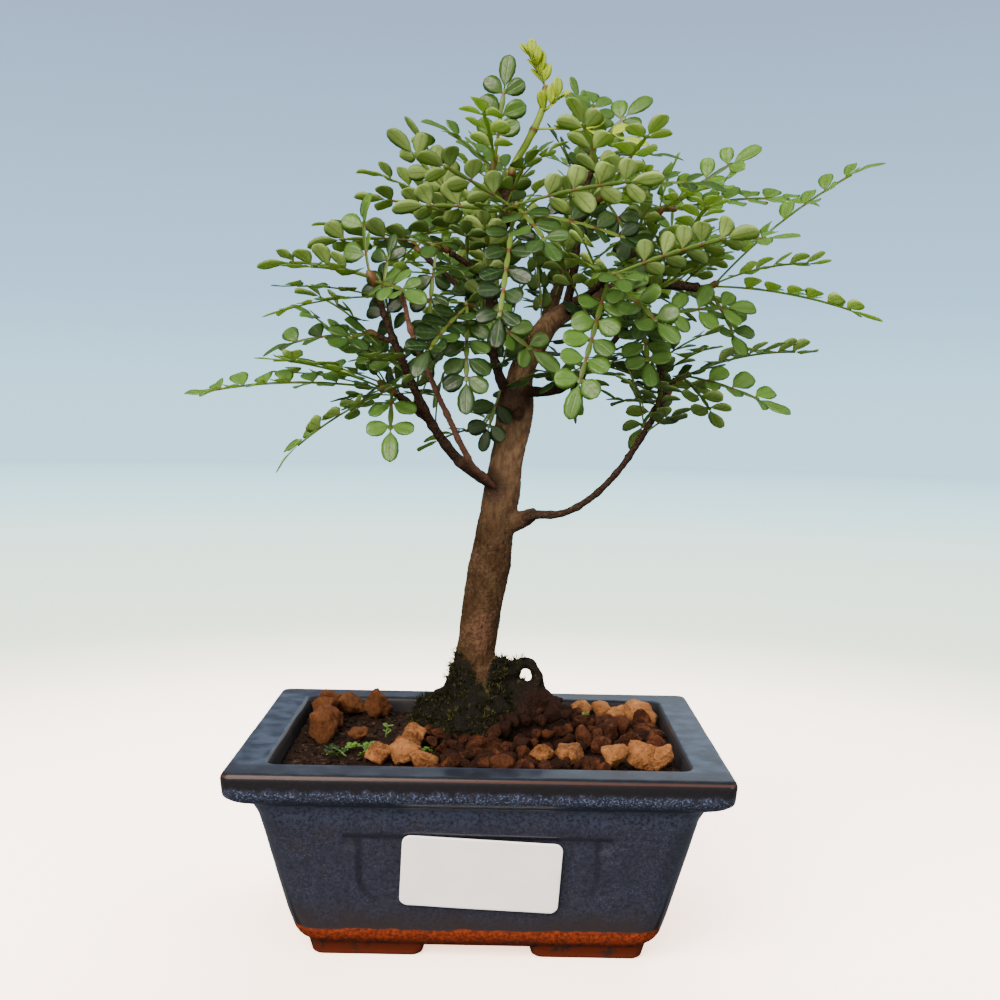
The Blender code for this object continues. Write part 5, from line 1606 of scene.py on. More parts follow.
def add_rachis(body, midrib, joints, end_share, tint, girth=1.0):
    """The grooved midrib of a leaf, winged between its joints."""
    shares = []
    halves = []
    redness = []
    for number, (low, high) in enumerate(zip([0.0, *joints], [*joints, end_share])):
        for step in range(RACHIS_STEPS):
            t = step / RACHIS_STEPS
            shares.append(low + (high - low) * t)
            wing = RACHIS_WING * math.sin(math.pi * t**1.4) if number else 0.10 * t
            halves.append((RACHIS_HALF + wing) * girth)
            redness.append(math.exp(-((t * 5) ** 2)) if number else 0.6 * math.exp(-((t * 3) ** 2)))
    shares.append(end_share)
    halves.append(0.22 * girth)
    redness.append(0.6)
    height = np.array(RACHIS_SECTION) * girth
    reach = np.sin(turns(RACHIS_SIDES))
    rings = []
    blades = []
    growths = []
    for share, half, red in zip(shares, halves, redness):
        point, _, side, normal = midrib.at(share)
        ring = np.array(point) + np.outer(reach * half, side) + np.outer(height, normal)
        rings.append(ring)
        blades.append(np.column_stack([reach, np.full(RACHIS_SIDES, share), np.sign(height)]))
        growths.append(np.broadcast_to((tint, red, 1), (RACHIS_SIDES, 3)))
    body.add_skin(rings, blade=np.array(blades), growth=np.array(growths))


def side_leaflet(body, midrib, share, turn, fold, lean, size, draw, tint, thickness, youth=0.0):
    """A leaflet on one side of the midrib, raised by the fold and leaning towards the tip."""
    point, along, side, normal = [np.array(v) for v in midrib.at(share)]
    raised = side * (turn * math.cos(fold)) + normal * math.sin(fold)
    out = raised * math.cos(lean) + along * math.sin(lean)
    forward = along * math.cos(lean) - raised * math.sin(lean)
    across = forward * turn
    twist = draw.uniform(-0.22, 0.22)
    lifted = np.cross(out, across)
    across = unit(across * math.cos(twist) + lifted * math.sin(twist))
    base = point + side * turn * 0.22
    add_leaflet(body, base, unit(out), across, size, draw, tint, thickness, youth)


def add_leaf(body, row, draw, settings, small=1.0, closed=0.0, youth=0.0):
    """One pinnate leaf: a winged midrib, leaflets in pairs and one narrow leaflet at the tip."""
    foot, tip, facing, _, fold, _ = row
    midrib = Midrib(foot, tip, facing)
    length = midrib.length
    first = 0.12 if youth == 1.0 else max(STALK_SHARE * 0.9, LEAST_STALK / length)
    last = 1 - (TERMINAL_LENGTH + TERMINAL_NECK) * small / length
    room = (last - first) * length
    target = YOUNG_SPACING if youth == 1.0 else settings.spacing / MM
    count = max(2, round(room / target) + 1)
    spacing = room / (count - 1)
    thickness = settings.thickness / MM
    # Paler towards the outside of the crown: painted light for its backlit outer leaves and painted shade for
    # the inner ones; the random part is each leaf's own tone.
    outward = (Vector(foot).lerp(Vector(tip), 0.6) - Vector(INNER_CENTRE)).length / PAINTED_LIGHT_REACH
    tone_and_painted_light = min(0.6 * draw.random() ** 1.5 + 0.75 * outward**2, 1.0)
    joints = [first + (last - first) * i / (count - 1) for i in range(count)]
    end_share = 1 - TERMINAL_LENGTH * small / length
    add_rachis(body, midrib, joints, end_share, tone_and_painted_light, 1.0 if small == 1.0 else 0.8)
    long = min(spacing * 1.2, settings.leaflet / MM) * settings.fullness * draw.uniform(0.94, 1.14)
    if youth == 1.0:
        long, slim = YOUNG_LEAFLET
        wide = long * slim
    elif small < 1:
        long = settings.leaflet / MM * INNER_LEAFLET * draw.uniform(0.9, 1.06)
        wide = long * draw.uniform(*LEAFLET_SLIMNESS)
    else:
        wide = long * draw.uniform(*LEAFLET_SLIMNESS)
    flatness = VISUAL_FOLD * (draw.uniform(0.1, 0.8) if small < 1 and youth < 1 else 1.0)
    for number, share in enumerate(joints):
        grade = 0.86 + 0.14 * math.sin(math.pi * (number + 0.8) / (count + 0.4))
        for turn in (1, -1):
            size = (long * grade * draw.uniform(0.94, 1.06), wide * grade * draw.uniform(0.94, 1.06))
            angle = fold * flatness + closed + draw.uniform(-0.16, 0.16)
            lean = LEAN + EXTRA_LEAN + draw.uniform(-0.16, 0.16) + closed * 0.6
            tint = min(max(tone_and_painted_light + draw.uniform(-0.15, 0.15), 0), 1)
            side_leaflet(body, midrib, share, turn, angle, lean, size, draw, tint, thickness, youth)
    point, along, side, _ = [np.array(v) for v in midrib.at(end_share)]
    size = (TERMINAL_LENGTH * small, TERMINAL_WIDTH * small * TERMINAL_SLIMNESS)
    add_leaflet(body, point, unit(along), -unit(side), size, draw, tone_and_painted_light, thickness, youth)


def add_stem(body, shoot, draw, girth):
    """The shoot's green stem, slightly swollen and reddish where a leaf leaves it."""
    rows = [(*point, radius) for point, radius in zip(shoot.points, shoot.radii())]
    line = smooth_line(rows, 0.8)
    distance = travelled(line[:, :3])
    radii = line[:, 3] * girth
    redness = np.exp(-distance / 2.5)
    for leaf_row in shoot.leaves:
        nearest = np.argmin(np.linalg.norm(line[:, :3] - np.array(leaf_row[0]), axis=1))
        near = np.exp(-(((distance - distance[nearest]) / 0.9) ** 2))
        radii = radii + 0.22 * near
        redness = np.maximum(redness, 0.8 * near)
    radii[-1] *= 0.6
    rings = tube_rings(line[:, :3], radii, FINE_STEM_SIDES)
    tint = draw.random()
    growth = np.array([np.broadcast_to((tint, red, 1), (FINE_STEM_SIDES, 3)) for red in redness])
    body.add_skin(rings, blade=np.zeros(rings.shape), growth=growth)


def check_place(shoot):
    """Raises where the coarse leaves don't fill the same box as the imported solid."""
    mesh = joined([shoot.stem()] + [leaf(*row) for row in shoot.leaves])
    points = row_array(mesh[0])
    low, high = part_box("shoot_" + shoot.name)
    low, high = np.array(low) / MM - SHIFT, np.array(high) / MM - SHIFT
    gap = max(np.abs(points.min(0) - low).max(), np.abs(points.max(0) - high).max())
    if gap > 0.5:
        raise RuntimeError(f"shoot_{shoot.name} stands {gap:.2f} mm from its packed solid")


INNER_SPACING = 3.1
INNER_START = 0.12
INNER_LOWEST = 128.0
INNER_REACH = (15.0, 26.0)
INNER_TURN = 2.4
INNER_TRIES = 26
STEEPEST = 0.93
CROWN_MARGIN = 0.5
INNER_SEED = 40
INNER_CENTRE = (8.0, 4.0, 150.0)
INNER_SMALL = 0.75
BARE = ("bare_twig", "right_knob", "cut_stub_left", "cut_stub_knot")
INNER_GROUPS = 3
# The foliage's outline as seen from the camera, across and up, on a plane through the trunk
CROWN_PLANE = 4.0
CROWN_OUTLINE = [
    (-59.0, 134.1), (-59.1, 156.7), (-49.3, 164.1), (-41.5, 166.9), (-37.7, 171.6), (-43.7, 177.1),
    (-43.7, 181.7), (-18.3, 179.6), (-15.8, 184.8), (-30.1, 192.6), (-27.6, 196.5), (-13.3, 191.7),
    (-13.4, 198.0), (-5.7, 202.0), (1.9, 207.2), (6.7, 212.3), (19.6, 220.9), (32.5, 218.6),
    (40.5, 206.6), (44.6, 199.1), (48.4, 202.2), (66.0, 200.5), (67.2, 194.5), (79.8, 188.3),
    (88.7, 173.9), (88.3, 170.6), (78.1, 163.9), (96.6, 158.6), (81.1, 153.7), (64.4, 146.9),
    (58.7, 137.1), (53.0, 134.4), (43.7, 138.4), (29.5, 130.6), (19.0, 133.8), (14.9, 139.4),
    (3.5, 123.0), (-2.8, 122.9), (-1.9, 131.3), (-7.3, 137.7), (-25.5, 131.4), (-41.2, 132.6),
    (-56.9, 123.7),
]
# Where further leaves from the boughs end, seen the same way, and how long they may be
OUTER_TIPS = [
    (-57.1, 164.5), (-59.1, 156.7), (-51.4, 161.0), (-57.5, 142.8), (101.8, 158.7), (89.4, 154.8),
    (81.2, 186.6), (88.8, 171.9), (23.0, 130.7), (53.0, 135.4), (-1.3, 122.9), (20.1, 219.9),
    (30.7, 218.0), (48.9, 201.2), (65.2, 199.5), (41.9, 139.4), (13.6, 138.1), (-12.5, 136.8),
]
OUTER_LENGTH = (15.0, 37.0)
OUTER_TRIES = 90
OUTER_SHIFTS = (-9.0, -3.0, 4.0, 10.0)
OUTER_START = 3.5
INNER_CLEARANCE = 3.0


def seen_at(x, z, start, end):
    """Across and up where a line of sight through x, z at the first depth meets the second."""
    eye_x, eye_y, eye_z = CAMERA_PLACE
    share = (end - eye_y) / (start - eye_y)
    return eye_x + (x - eye_x) * share, eye_z + (z - eye_z) * share


def within_crown(points):
    """Whether each point, seen from the camera, falls inside the outline of the foliage."""
    seen = [seen_at(x, z, y, CROWN_PLANE) for x, y, z in points]
    return (inside_by(np.array(seen), CROWN_OUTLINE) > CROWN_MARGIN).all()


def clear_of(row, trees, start):
    """Whether the leaf touches none of the trees beyond its own stalk."""
    length = (row[1] - row[0]).length
    test = tree_of(leaf(*row, thickness=1.0, growth=1.0, start=start / length))
    return not any(test.overlap(tree) for tree in trees)


def inner_leaves(shoots):
    """Shorter leaves along the brown boughs, wherever the shoots leave room."""
    wood_tree = tree_of(joined([bough_tube(rows) for rows in [TRUNK, *BOUGHS.values()]]))
    trees = [wood_tree] + [tree for shoot in shoots for tree in (shoot.stem_tree, *shoot.trees)]
    draw = random.Random(INNER_SEED)
    found = outer_leaves(trees, draw)
    for name, rows in BOUGHS.items():
        if name in BARE:
            continue
        line = smooth_line(rows, 0.8)
        distance = travelled(line[:, :3])
        at = max(INNER_START * distance[-1], 5.0)
        turn = draw.uniform(0, 6.3)
        while at < distance[-1]:
            index = int(np.argmin(np.abs(distance - at)))
            at += INNER_SPACING * draw.uniform(0.8, 1.25)
            turn += INNER_TURN
            if line[index, 2] < INNER_LOWEST:
                continue
            way = Vector(unit(line[min(index + 1, len(line) - 1), :3] - line[max(index - 1, 0), :3]))
            across = way.orthogonal().normalized()
            other = way.cross(across)
            for attempt in range(INNER_TRIES):
                angle = turn + attempt * 1.1 + draw.uniform(-0.3, 0.3)
                out = across * math.cos(angle) + other * math.sin(angle)
                away = Vector(line[index, :3]) - Vector(INNER_CENTRE)
                out = (out + away.normalized() * 0.55 + way * 0.35 + Vector((0, 0, 0.15))).normalized()
                foot = Vector(line[index, :3]) + out * float(line[index, 3]) * 0.6
                reach = draw.uniform(*INNER_REACH)
                facing = Vector((draw.uniform(-0.3, 0.3), draw.uniform(-0.4, 0.3), 1))
                facing = facing + away.normalized() * 0.3
                row = (foot, foot + out * reach, facing, 3, draw.uniform(*FOLD), False)
                if abs(facing.normalized().dot(out)) > STEEPEST:
                    continue
                if not within_crown((foot + out * reach * 0.6, row[1])):
                    continue
                if clear_of(row, trees, INNER_CLEARANCE):
                    trees.append(tree_of(leaf(*row)))
                    found.append(row)
                    break
    return found


def outer_leaves(trees, draw):
    """Leaves from the boughs to given places in the picture, as far as there is room."""
    wood = np.vstack([smooth_line(rows, 0.8) for name, rows in BOUGHS.items() if name not in BARE])
    found = []
    for across, up in OUTER_TIPS:
        rows = []
        for x, y, z, radius in wood[wood[:, 2] > INNER_LOWEST]:
            foot = Vector((x, y, z))
            for shift in OUTER_SHIFTS:
                tip_x, tip_z = seen_at(across, up, CROWN_PLANE, y + shift)
                tip = Vector((tip_x, y + shift, tip_z))
                length = (tip - foot).length
                if OUTER_LENGTH[0] < length < OUTER_LENGTH[1]:
                    start = foot + (tip - foot).normalized() * float(radius) * 0.6
                    rows.append((length, start, tip))
        rows.sort(key=lambda row: row[0])
        tries = min(OUTER_TRIES, len(rows))
        for attempt in range(tries):
            length, foot, tip = rows[attempt * len(rows) // tries]
            facing = Vector((draw.uniform(-0.3, 0.3), draw.uniform(-0.5, 0.2), 1))
            row = (foot, tip, facing, max(3, round(length / LONE_SPACING)), draw.uniform(*FOLD), False)
            if clear_of(row, trees, OUTER_START):
                trees.append(tree_of(leaf(*row)))
                found.append(row)
                break
    return found


def make_inner_leaves(shoots, settings, finish):
    rows = inner_leaves(shoots)
    draw = random.Random(INNER_SEED + 1)
    share = math.ceil(len(rows) / INNER_GROUPS)
    for group in range(INNER_GROUPS):
        body = Heap()
        for row in rows[group * share:(group + 1) * share]:
            add_leaf(body, row, draw, settings, small=INNER_SMALL)
        piece = body.piece(f"bough_leaves_{group + 1}", finish)


STEM_GIRTH = 0.92
FINE_STEM_SIDES = 10
LEADER_GIRTH = 1.25
LEADER_BUD = (Vector((12.2, -2, 208.6)), Vector((19.5, -3.6, 214.5)), Vector((-0.4, -1, 0.5)), 3, 0.9, False)


def make_shoots(settings, finish, young_finish):
    shoots = grow()
    make_inner_leaves(shoots, settings, finish)
    for number, shoot in enumerate(shoots):
        check_place(shoot)
        draw = random.Random(LEAF_SEED * 100 + number)
        body = Heap()
        leader = shoot.name == "bright_leader"
        add_stem(body, shoot, draw, LEADER_GIRTH if leader else STEM_GIRTH)
        for leaf_number, row in enumerate(shoot.leaves):
            if leader and leaf_number == 0:
                add_leaf(body, row, draw, settings, small=0.5, closed=0.75, youth=1.0)
            else:
                add_leaf(body, row, draw, settings, youth=0.5 if leader else 0.0)
        if leader:
            add_leaf(body, LEADER_BUD, draw, settings, small=0.4, closed=0.3, youth=1.0)
        piece = body.piece("leaves_" + shoot.name, young_finish if leader else finish)
        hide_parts("shoot_" + shoot.name)


# Small plants on the soil: foot x and y, direction, length, rise, number of leaflets
SPROUTS = [
    (-36.5, -12.0, 0.3, 6.0, 0.25, 12), (-34.0, -14.5, 2.6, 6.5, 0.2, 12), (-31.0, -15.0, 5.9, 6.0, 0.2, 12),
    (-36.0, -15.5, 4.2, 5.0, 0.3, 10), (-30.0, -12.5, 1.2, 5.0, 0.35, 9), (-27.5, -14.0, 0.1, 4.5, 0.3, 9),
    (-25.5, 2.0, 1.4, 4.0, 0.9, 6), (18.0, 19.0, 2.2, 6.5, 1.1, 9), (20.0, 18.0, 0.6, 5.5, 0.9, 8),
    (26.5, 13.0, 1.0, 5.0, 1.0, 7), (-11.5, -13.5, 3.6, 4.0, 0.5, 6), (34.0, -7.0, 0.5, 4.0, 0.6, 6),
    (8.0, -21.0, 5.6, 4.0, 0.5, 6),
]
SPROUT_LEAFLET = (1.1, 2.0)
SPROUT_STEM = ((0, 0.22), (0.3, 0.2), (0.6, 0.18), (0.85, 0.15), (1, 0.08))


def make_sprouts(finish):
    """Low creeping sprigs between the stones, each a thin stem with tiny leaflets."""
    draw = random.Random(LEAF_SEED)
    body = Heap()
    for x, y, turn, length, rise, count in SPROUTS:
        level = soil_height(np.array([x]), np.array([y]), 1.0)[0] + 0.2
        way = unit(np.array((math.cos(turn), math.sin(turn), rise)))
        shares = np.array([share for share, _ in SPROUT_STEM])[:, None]
        line = np.array((x, y, level)) + way * length * shares + (0, 0, 1.0) * np.sin(shares * math.pi) * 0.8
        tint = draw.random()
        rings = tube_rings(line, [radius for _, radius in SPROUT_STEM], 6)
        body.add_skin(rings, blade=np.zeros(rings.shape), growth=np.full(rings.shape, (tint, 0.2, 1)))
        for number in range(count):
            share = 0.15 + 0.8 * number / count
            base = line[0] + (line[-1] - line[0]) * share + (0, 0, 0.8 * math.sin(share * math.pi))
            angle = turn + (1 if number % 2 else -1) * draw.uniform(0.7, 1.3)
            out = unit(np.array((math.cos(angle), math.sin(angle), draw.uniform(0.1, 0.8))))
            across = unit(np.cross((0, 0, 1), out))
            size = draw.uniform(*SPROUT_LEAFLET)
            add_leaflet(body, base, out, across, (size, size * 0.7), draw, tint, 0.2, 0.6)
    piece = body.piece("sprouts", finish)


# Surfaces


def joined_by(operation, swapped=False):
    """A method that joins a socket with a number or another socket through one Math node."""

    def method(self, other=0.0):
        first, second = (other, self) if swapped else (self, other)
        return self.surface.node("ShaderNodeMath", {"operation": operation}, {0: first, 1: second})

    return method


class Value:
    """A socket that carries a number, so that sums over a surface read as plain expressions."""

    def __init__(self, surface, socket):
        self.surface = surface
        self.socket = socket

    __add__, __radd__ = joined_by("ADD"), joined_by("ADD", True)
    __sub__, __rsub__ = joined_by("SUBTRACT"), joined_by("SUBTRACT", True)
    __mul__, __rmul__ = joined_by("MULTIPLY"), joined_by("MULTIPLY", True)
    __truediv__, __rtruediv__ = joined_by("DIVIDE"), joined_by("DIVIDE", True)
    __pow__ = joined_by("POWER")
    __abs__ = joined_by("ABSOLUTE")
    sine = joined_by("SINE")
    most = joined_by("MAXIMUM")

    def rise(self, start, end):
        """0 at start, 1 at end and a smooth step between them; start may be the greater."""
        low, high = sorted((start, end))
        values = {0: self, 1: low, 2: high, 3: float(start > end), 4: float(start <= end)}
        return self.surface.node("ShaderNodeMapRange", {"interpolation_type": "SMOOTHSTEP"}, values)


class Surface:
    """One procedural material. Its places are millimetres in the plant's own frame."""

    def __init__(self, name):
        self.material = bpy.data.materials.new(name)
        self.material.use_nodes = True
        self.tree = self.material.node_tree
        self.shader = self.tree.nodes["Principled BSDF"]
        where = self.node("ShaderNodeTexCoord", out="Object")
        scaled = self.node("ShaderNodeVectorMath", {"operation": "SCALE"}, {0: where, "Scale": 1 / MM})
        shift = {0: scaled, 1: tuple(SHIFT)}
        self.place = self.node("ShaderNodeVectorMath", {"operation": "SUBTRACT"}, shift)

    def node(self, kind, settings=None, values=None, out=0):
        """Adds a node: its settings first, then the values or links of its sockets."""
        made = self.tree.nodes.new(kind)
        for key, value in (settings or {}).items():
            if key == "stops":
                for stop, (place, colour) in zip((0, 1), (value[0], value[-1])):
                    made.color_ramp.elements[stop].position = place
                    made.color_ramp.elements[stop].color = (*colour, 1)
                for place, colour in value[1:-1]:
                    made.color_ramp.elements.new(place).color = (*colour, 1)
            else:
                setattr(made, key, value)
        for key, value in (values or {}).items():
            self.feed(made.inputs[key], value)
        return Value(self, made.outputs[out])

    def feed(self, socket, value):
        """Links or sets one socket. A colour may leave out its alpha."""
        if isinstance(value, Value):
            self.tree.links.new(value.socket, socket)
        else:
            socket.default_value = (*tuple(value)[:3], 1) if socket.type == "RGBA" else value

    def parts(self, vector):
        return [self.node("ShaderNodeSeparateXYZ", {}, {0: vector}, axis) for axis in range(3)]

    def attribute(self, name):
        return self.parts(self.node("ShaderNodeAttribute", {"attribute_name": name}, {}, "Vector"))

    def stretched(self, sizes):
        """The places divided by a size for each axis."""
        scale = tuple(1 / size for size in sizes)
        return self.node("ShaderNodeVectorMath", {"operation": "MULTIPLY"}, {0: self.place, 1: scale})

    def clouds(self, size, detail=2.0, shift=0.0, sizes=None, rough=0.5):
        """Soft noise from 0 to 1, its features this many millimetres across."""
        place = self.stretched(sizes or (size, size, size))
        place = self.node("ShaderNodeVectorMath", {"operation": "ADD"}, {0: place, 1: (shift, 0, shift)})
        values = {"Vector": place, "Scale": 1.0, "Detail": detail, "Roughness": rough}
        return self.node("ShaderNodeTexNoise", {}, values)

    def cells(self, size, out="Distance"):
        values = {"Vector": self.stretched((size, size, size)), "Scale": 1.0}
        return self.node("ShaderNodeTexVoronoi", {}, values, out)

    def mix(self, factor, low, high):
        """A colour between two others."""
        return self.node("ShaderNodeMix", {"data_type": "RGBA"}, {0: factor, 6: low, 7: high}, 2)

    def bump(self, height, depth):
        """A normal from a height of 0 to 1 that stands for this many millimetres."""
        sockets = {"Height": height, "Strength": 1.0, "Distance": depth * MM}
        return self.node("ShaderNodeBump", {}, sockets, "Normal")

    def set(self, **sockets):
        """Gives the main shader's sockets their values or links."""
        for key, value in sockets.items():
            self.feed(self.shader.inputs[key.replace("_", " ")], value)

    def let_through(self, share, colour):
        """Lets light shine through: a Translucent shader mixed with the surface."""
        glow = self.node("ShaderNodeBsdfTranslucent", {}, {"Color": colour}, "BSDF")
        shine = Value(self, self.shader.outputs["BSDF"])
        both = self.node("ShaderNodeMixShader", {}, {0: share, 1: shine, 2: glow}, "Shader")
        self.tree.links.new(both.socket, self.tree.nodes["Material Output"].inputs["Surface"])


MATTE = 0.08
# Upper trunk bark, used from the heights below upwards: smoother, and lighter as painted light against the
# crown's shadow
UPPER_BARK_PAINTED_LIGHT = (0.190, 0.115, 0.062)
UPPER_GROOVE_PAINTED_LIGHT = (0.098, 0.058, 0.032)
UPPER_PAINTED_LIGHT_FROM = (98.0, 126.0)


def glaze_surface(settings):
    s = Surface("mottled glaze")
    x, y, z = s.parts(s.place)
    fine = s.clouds(0.9, 4.0, rough=0.7)
    speck = s.clouds(0.45, 2.0, 7.0)
    broad = s.clouds(7.0, 3.0, 3.0)
    drip = s.clouds(1.0, 3.0, 5.0, sizes=(2.2, 2.2, 5.0))
    edge = z + (drip - 0.5) * 2.4
    wall = s.mix(fine.rise(0.30, 0.68), settings.glaze_deep, settings.glaze)
    wall = s.mix(speck.rise(0.50, 0.72) * broad.rise(0.30, 0.62) * 0.6, wall, settings.glaze_speck)
    wall = s.mix(broad.rise(0.55, 0.75) * 0.5, wall, settings.glaze_grey)
    low_wall = (edge + (broad - 0.5) * 8.0).rise(16.0, 7.0)
    wall = s.mix(low_wall * 0.95, wall, settings.glaze_grey)
    band = edge.rise(34.5, 39.0) * edge.rise(43.6, 41.0)
    wall = s.mix(band * fine.rise(0.35, 0.6) * 0.55, wall, settings.glaze_speck)
    lip = s.mix(fine.rise(0.42, 0.62), settings.glaze_deep, settings.glaze)
    lip = s.mix(speck.rise(0.53, 0.66) * edge.rise(47.4, 45.0), lip, settings.glaze_pale)
    dark = edge.rise(45.4, 46.8)
    lip = s.mix(dark * 0.92, lip, (0.005, 0.004, 0.0045))
    colour = s.mix(z.rise(42.3, 42.9), wall, lip)
    outer = 1 - abs(x).rise(59.2, 58.6) * abs(y).rise(44.2, 43.6)
    line = z.rise(48.8, 49.05) * z.rise(49.5, 49.25) * (drip + fine * 0.5).rise(0.35, 0.65) * outer
    colour = s.mix(line * 0.85, colour, (0.034, 0.0115, 0.0080))
    # Painted shade: dark lines along the edges and the top of the recessed panel stand for the shadow lines
    # of its recess.
    up_face = (z - FACE_LOW[0]) * 1.03
    beside = (abs(x) - (PANEL_HALF - PANEL_CORNER)).most(0.0)
    below = ((PANEL_BOTTOM + PANEL_CORNER) - up_face).most(0.0)
    ring = abs((beside * beside + below * below) ** 0.5 - PANEL_CORNER)
    ring = ring * up_face.rise(PANEL_TOP + 2.0, PANEL_TOP + 1.5)
    notch = abs(up_face - PANEL_TOP) + abs(x).rise(PANEL_TOP_HALF, PANEL_TOP_HALF + 1.0) * 5.0
    panel = (ring + up_face.rise(PANEL_TOP, PANEL_TOP + 1.0) * 5.0).rise(1.3, 0.2).most(notch.rise(1.0, 0.2))
    panel = panel * abs(y).rise(28.0, 31.0) * (0.35 + broad * 0.9)
    colour = s.mix(panel * 0.75, colour, (0.004, 0.0045, 0.008))
    face = s.parts(s.node("ShaderNodeNewGeometry", {}, {}, "Normal"))[2]
    top = z.rise(49.3, 49.8) * face.rise(0.75, 0.95)
    brushed = s.clouds(1.0, 3.0, 2.0, sizes=(5.0, 5.0, 0.6))
    rim = s.mix(brushed.rise(0.3, 0.7), settings.rim, settings.rim_light)
    rim = s.mix(speck.rise(0.6, 0.7) * 0.8, rim, (0.02, 0.026, 0.04))
    # Painted shade: the rim tops along the front and back are darkened, standing for their dimmer reflection.
    rim = s.mix(abs(y).rise(35.5, 38.0) * (0.9 - drip * 0.6), rim, settings.glaze_deep)
    colour = s.mix(top, colour, rim)
    # Painted shade: the inner wall between the soil and the rim is coloured near-black; it is also rougher
    # and has no coat.
    inner = (abs(x) - z * 0.21).rise(42.9, 42.1) * (abs(y) - z * 0.19).rise(28.7, 27.9)
    inner = z.rise(49.6, 49.0) * inner
    colour = s.mix(inner, colour, (0.009, 0.008, 0.009))
    bare = (z + (drip - 0.5) * 1.0 + (broad - 0.5) * 1.6).rise(8.5, 7.9)
    clay = s.mix(fine.rise(0.35, 0.7), settings.clay_dark, settings.clay)
    stain = s.clouds(2.6, 3.0, 9.0)
    # The clay turns darker towards the bottom of the feet.
    clay = s.mix(z.rise(5.4, 3.0) * 0.95, clay, settings.clay_dark)
    clay = s.mix(stain.rise(0.52, 0.66) * z.rise(7.5, 3.0), clay, (0.020, 0.009, 0.005))
    colour = s.mix(bare, colour, clay)
    s.set(Base_Color=colour)
    s.set(Roughness=0.30 + bare * 0.5 + inner * 0.35 + line * 0.3 + fine * 0.12, Specular_IOR_Level=0.15)
    relief = fine * 0.35 + drip * 0.5 + (stain * bare) * 0.8
    s.set(Normal=s.bump(relief, 0.10), IOR=1.5)
    ledge = z.rise(40.6, 41.4) * z.rise(44.2, 43.2)
    arris = z.rise(48.4, 49.0) * face.rise(0.97, 0.85) * outer
    coat = (1 - bare) * (1 - inner) * (1 - ledge * 0.85) * (1 - arris * 0.85)
    s.set(Coat_Weight=coat * (0.75 - top * (0.22 + brushed * 0.2)), Coat_Roughness=0.13)
    return s.material


def paper_surface(settings):
    s = Surface("label paper")
    pulp = s.clouds(0.35, 3.0)
    shade = s.clouds(9.0, 2.0, 4.0)
    colour = s.mix(shade.rise(0.3, 0.75) * 0.5, settings.paper, settings.paper_shade)
    colour = s.mix(pulp.rise(0.55, 0.7) * 0.25, colour, settings.paper_shade)
    s.set(Base_Color=colour, Roughness=0.34 + pulp * 0.18)
    s.set(Normal=s.bump(pulp + shade, 0.03))
    return s.material


def mesh_surface():
    s = Surface("drain mesh")
    grain = s.clouds(0.6, 3.0)
    colour = s.mix(grain, (0.012, 0.012, 0.012), (0.05, 0.048, 0.045))
    s.set(Base_Color=colour, Roughness=0.45 + grain * 0.25, Normal=s.bump(grain, 0.05))
    return s.material


def soil_surface(settings):
    s = Surface("damp soil")
    x, y, _ = s.parts(s.place)
    grain = s.clouds(0.8, 4.0, rough=0.65)
    patch = s.clouds(6.0, 2.0, 4.0)
    colour = s.mix(grain.rise(0.35, 0.7), settings.soil_dark, settings.soil)
    slope = (((x - SLOPE_CENTRE[0]) / 13.0) ** 2.0 + ((y - SLOPE_CENTRE[1]) / 12.0) ** 2.0).rise(1.1, 0.35)
    colour = s.mix(slope * patch.rise(0.3, 0.6) * 0.7, colour, settings.soil_red)
    crumbs = s.cells(1.1, out="Color")
    pale = s.parts(crumbs)[0]
    colour = s.mix(pale.rise(0.9, 0.95) * 0.6, colour, (0.042, 0.021, 0.011))
    s.set(Base_Color=colour, Roughness=0.72 + grain * 0.25, Specular_IOR_Level=MATTE)
    s.set(Normal=s.bump(grain + s.cells(0.9) * 0.5, 0.35))
    return s.material


def stone_surface(name, dark, colour, pale, pits):
    s = Surface(name)
    tint, shade, _ = s.attribute("stone")
    grain = s.clouds(0.7, 4.0, rough=0.7)
    patch = s.clouds(2.6, 3.0, 6.0)
    mixed = s.mix(grain.rise(0.3, 0.7), dark, colour)
    mixed = s.mix(patch.rise(0.45, 0.7) * 0.7, mixed, pale)
    mixed = s.mix(tint.rise(0.45, 1.0) * 0.9, mixed, dark)
    mixed = s.mix(shade.rise(0.7, 1.0) * 0.4, mixed, pale)
    hole = s.cells(0.62).rise(0.32, 0.12) * pits
    mixed = s.mix(hole * 0.75, mixed, tuple(part * 0.35 for part in dark))
    s.set(Base_Color=mixed, Roughness=0.78 + grain * 0.18, Specular_IOR_Level=MATTE)
    s.set(Normal=s.bump(grain * 1.5 + patch * 0.5 - hole * 0.9, 0.5))
    return s.material


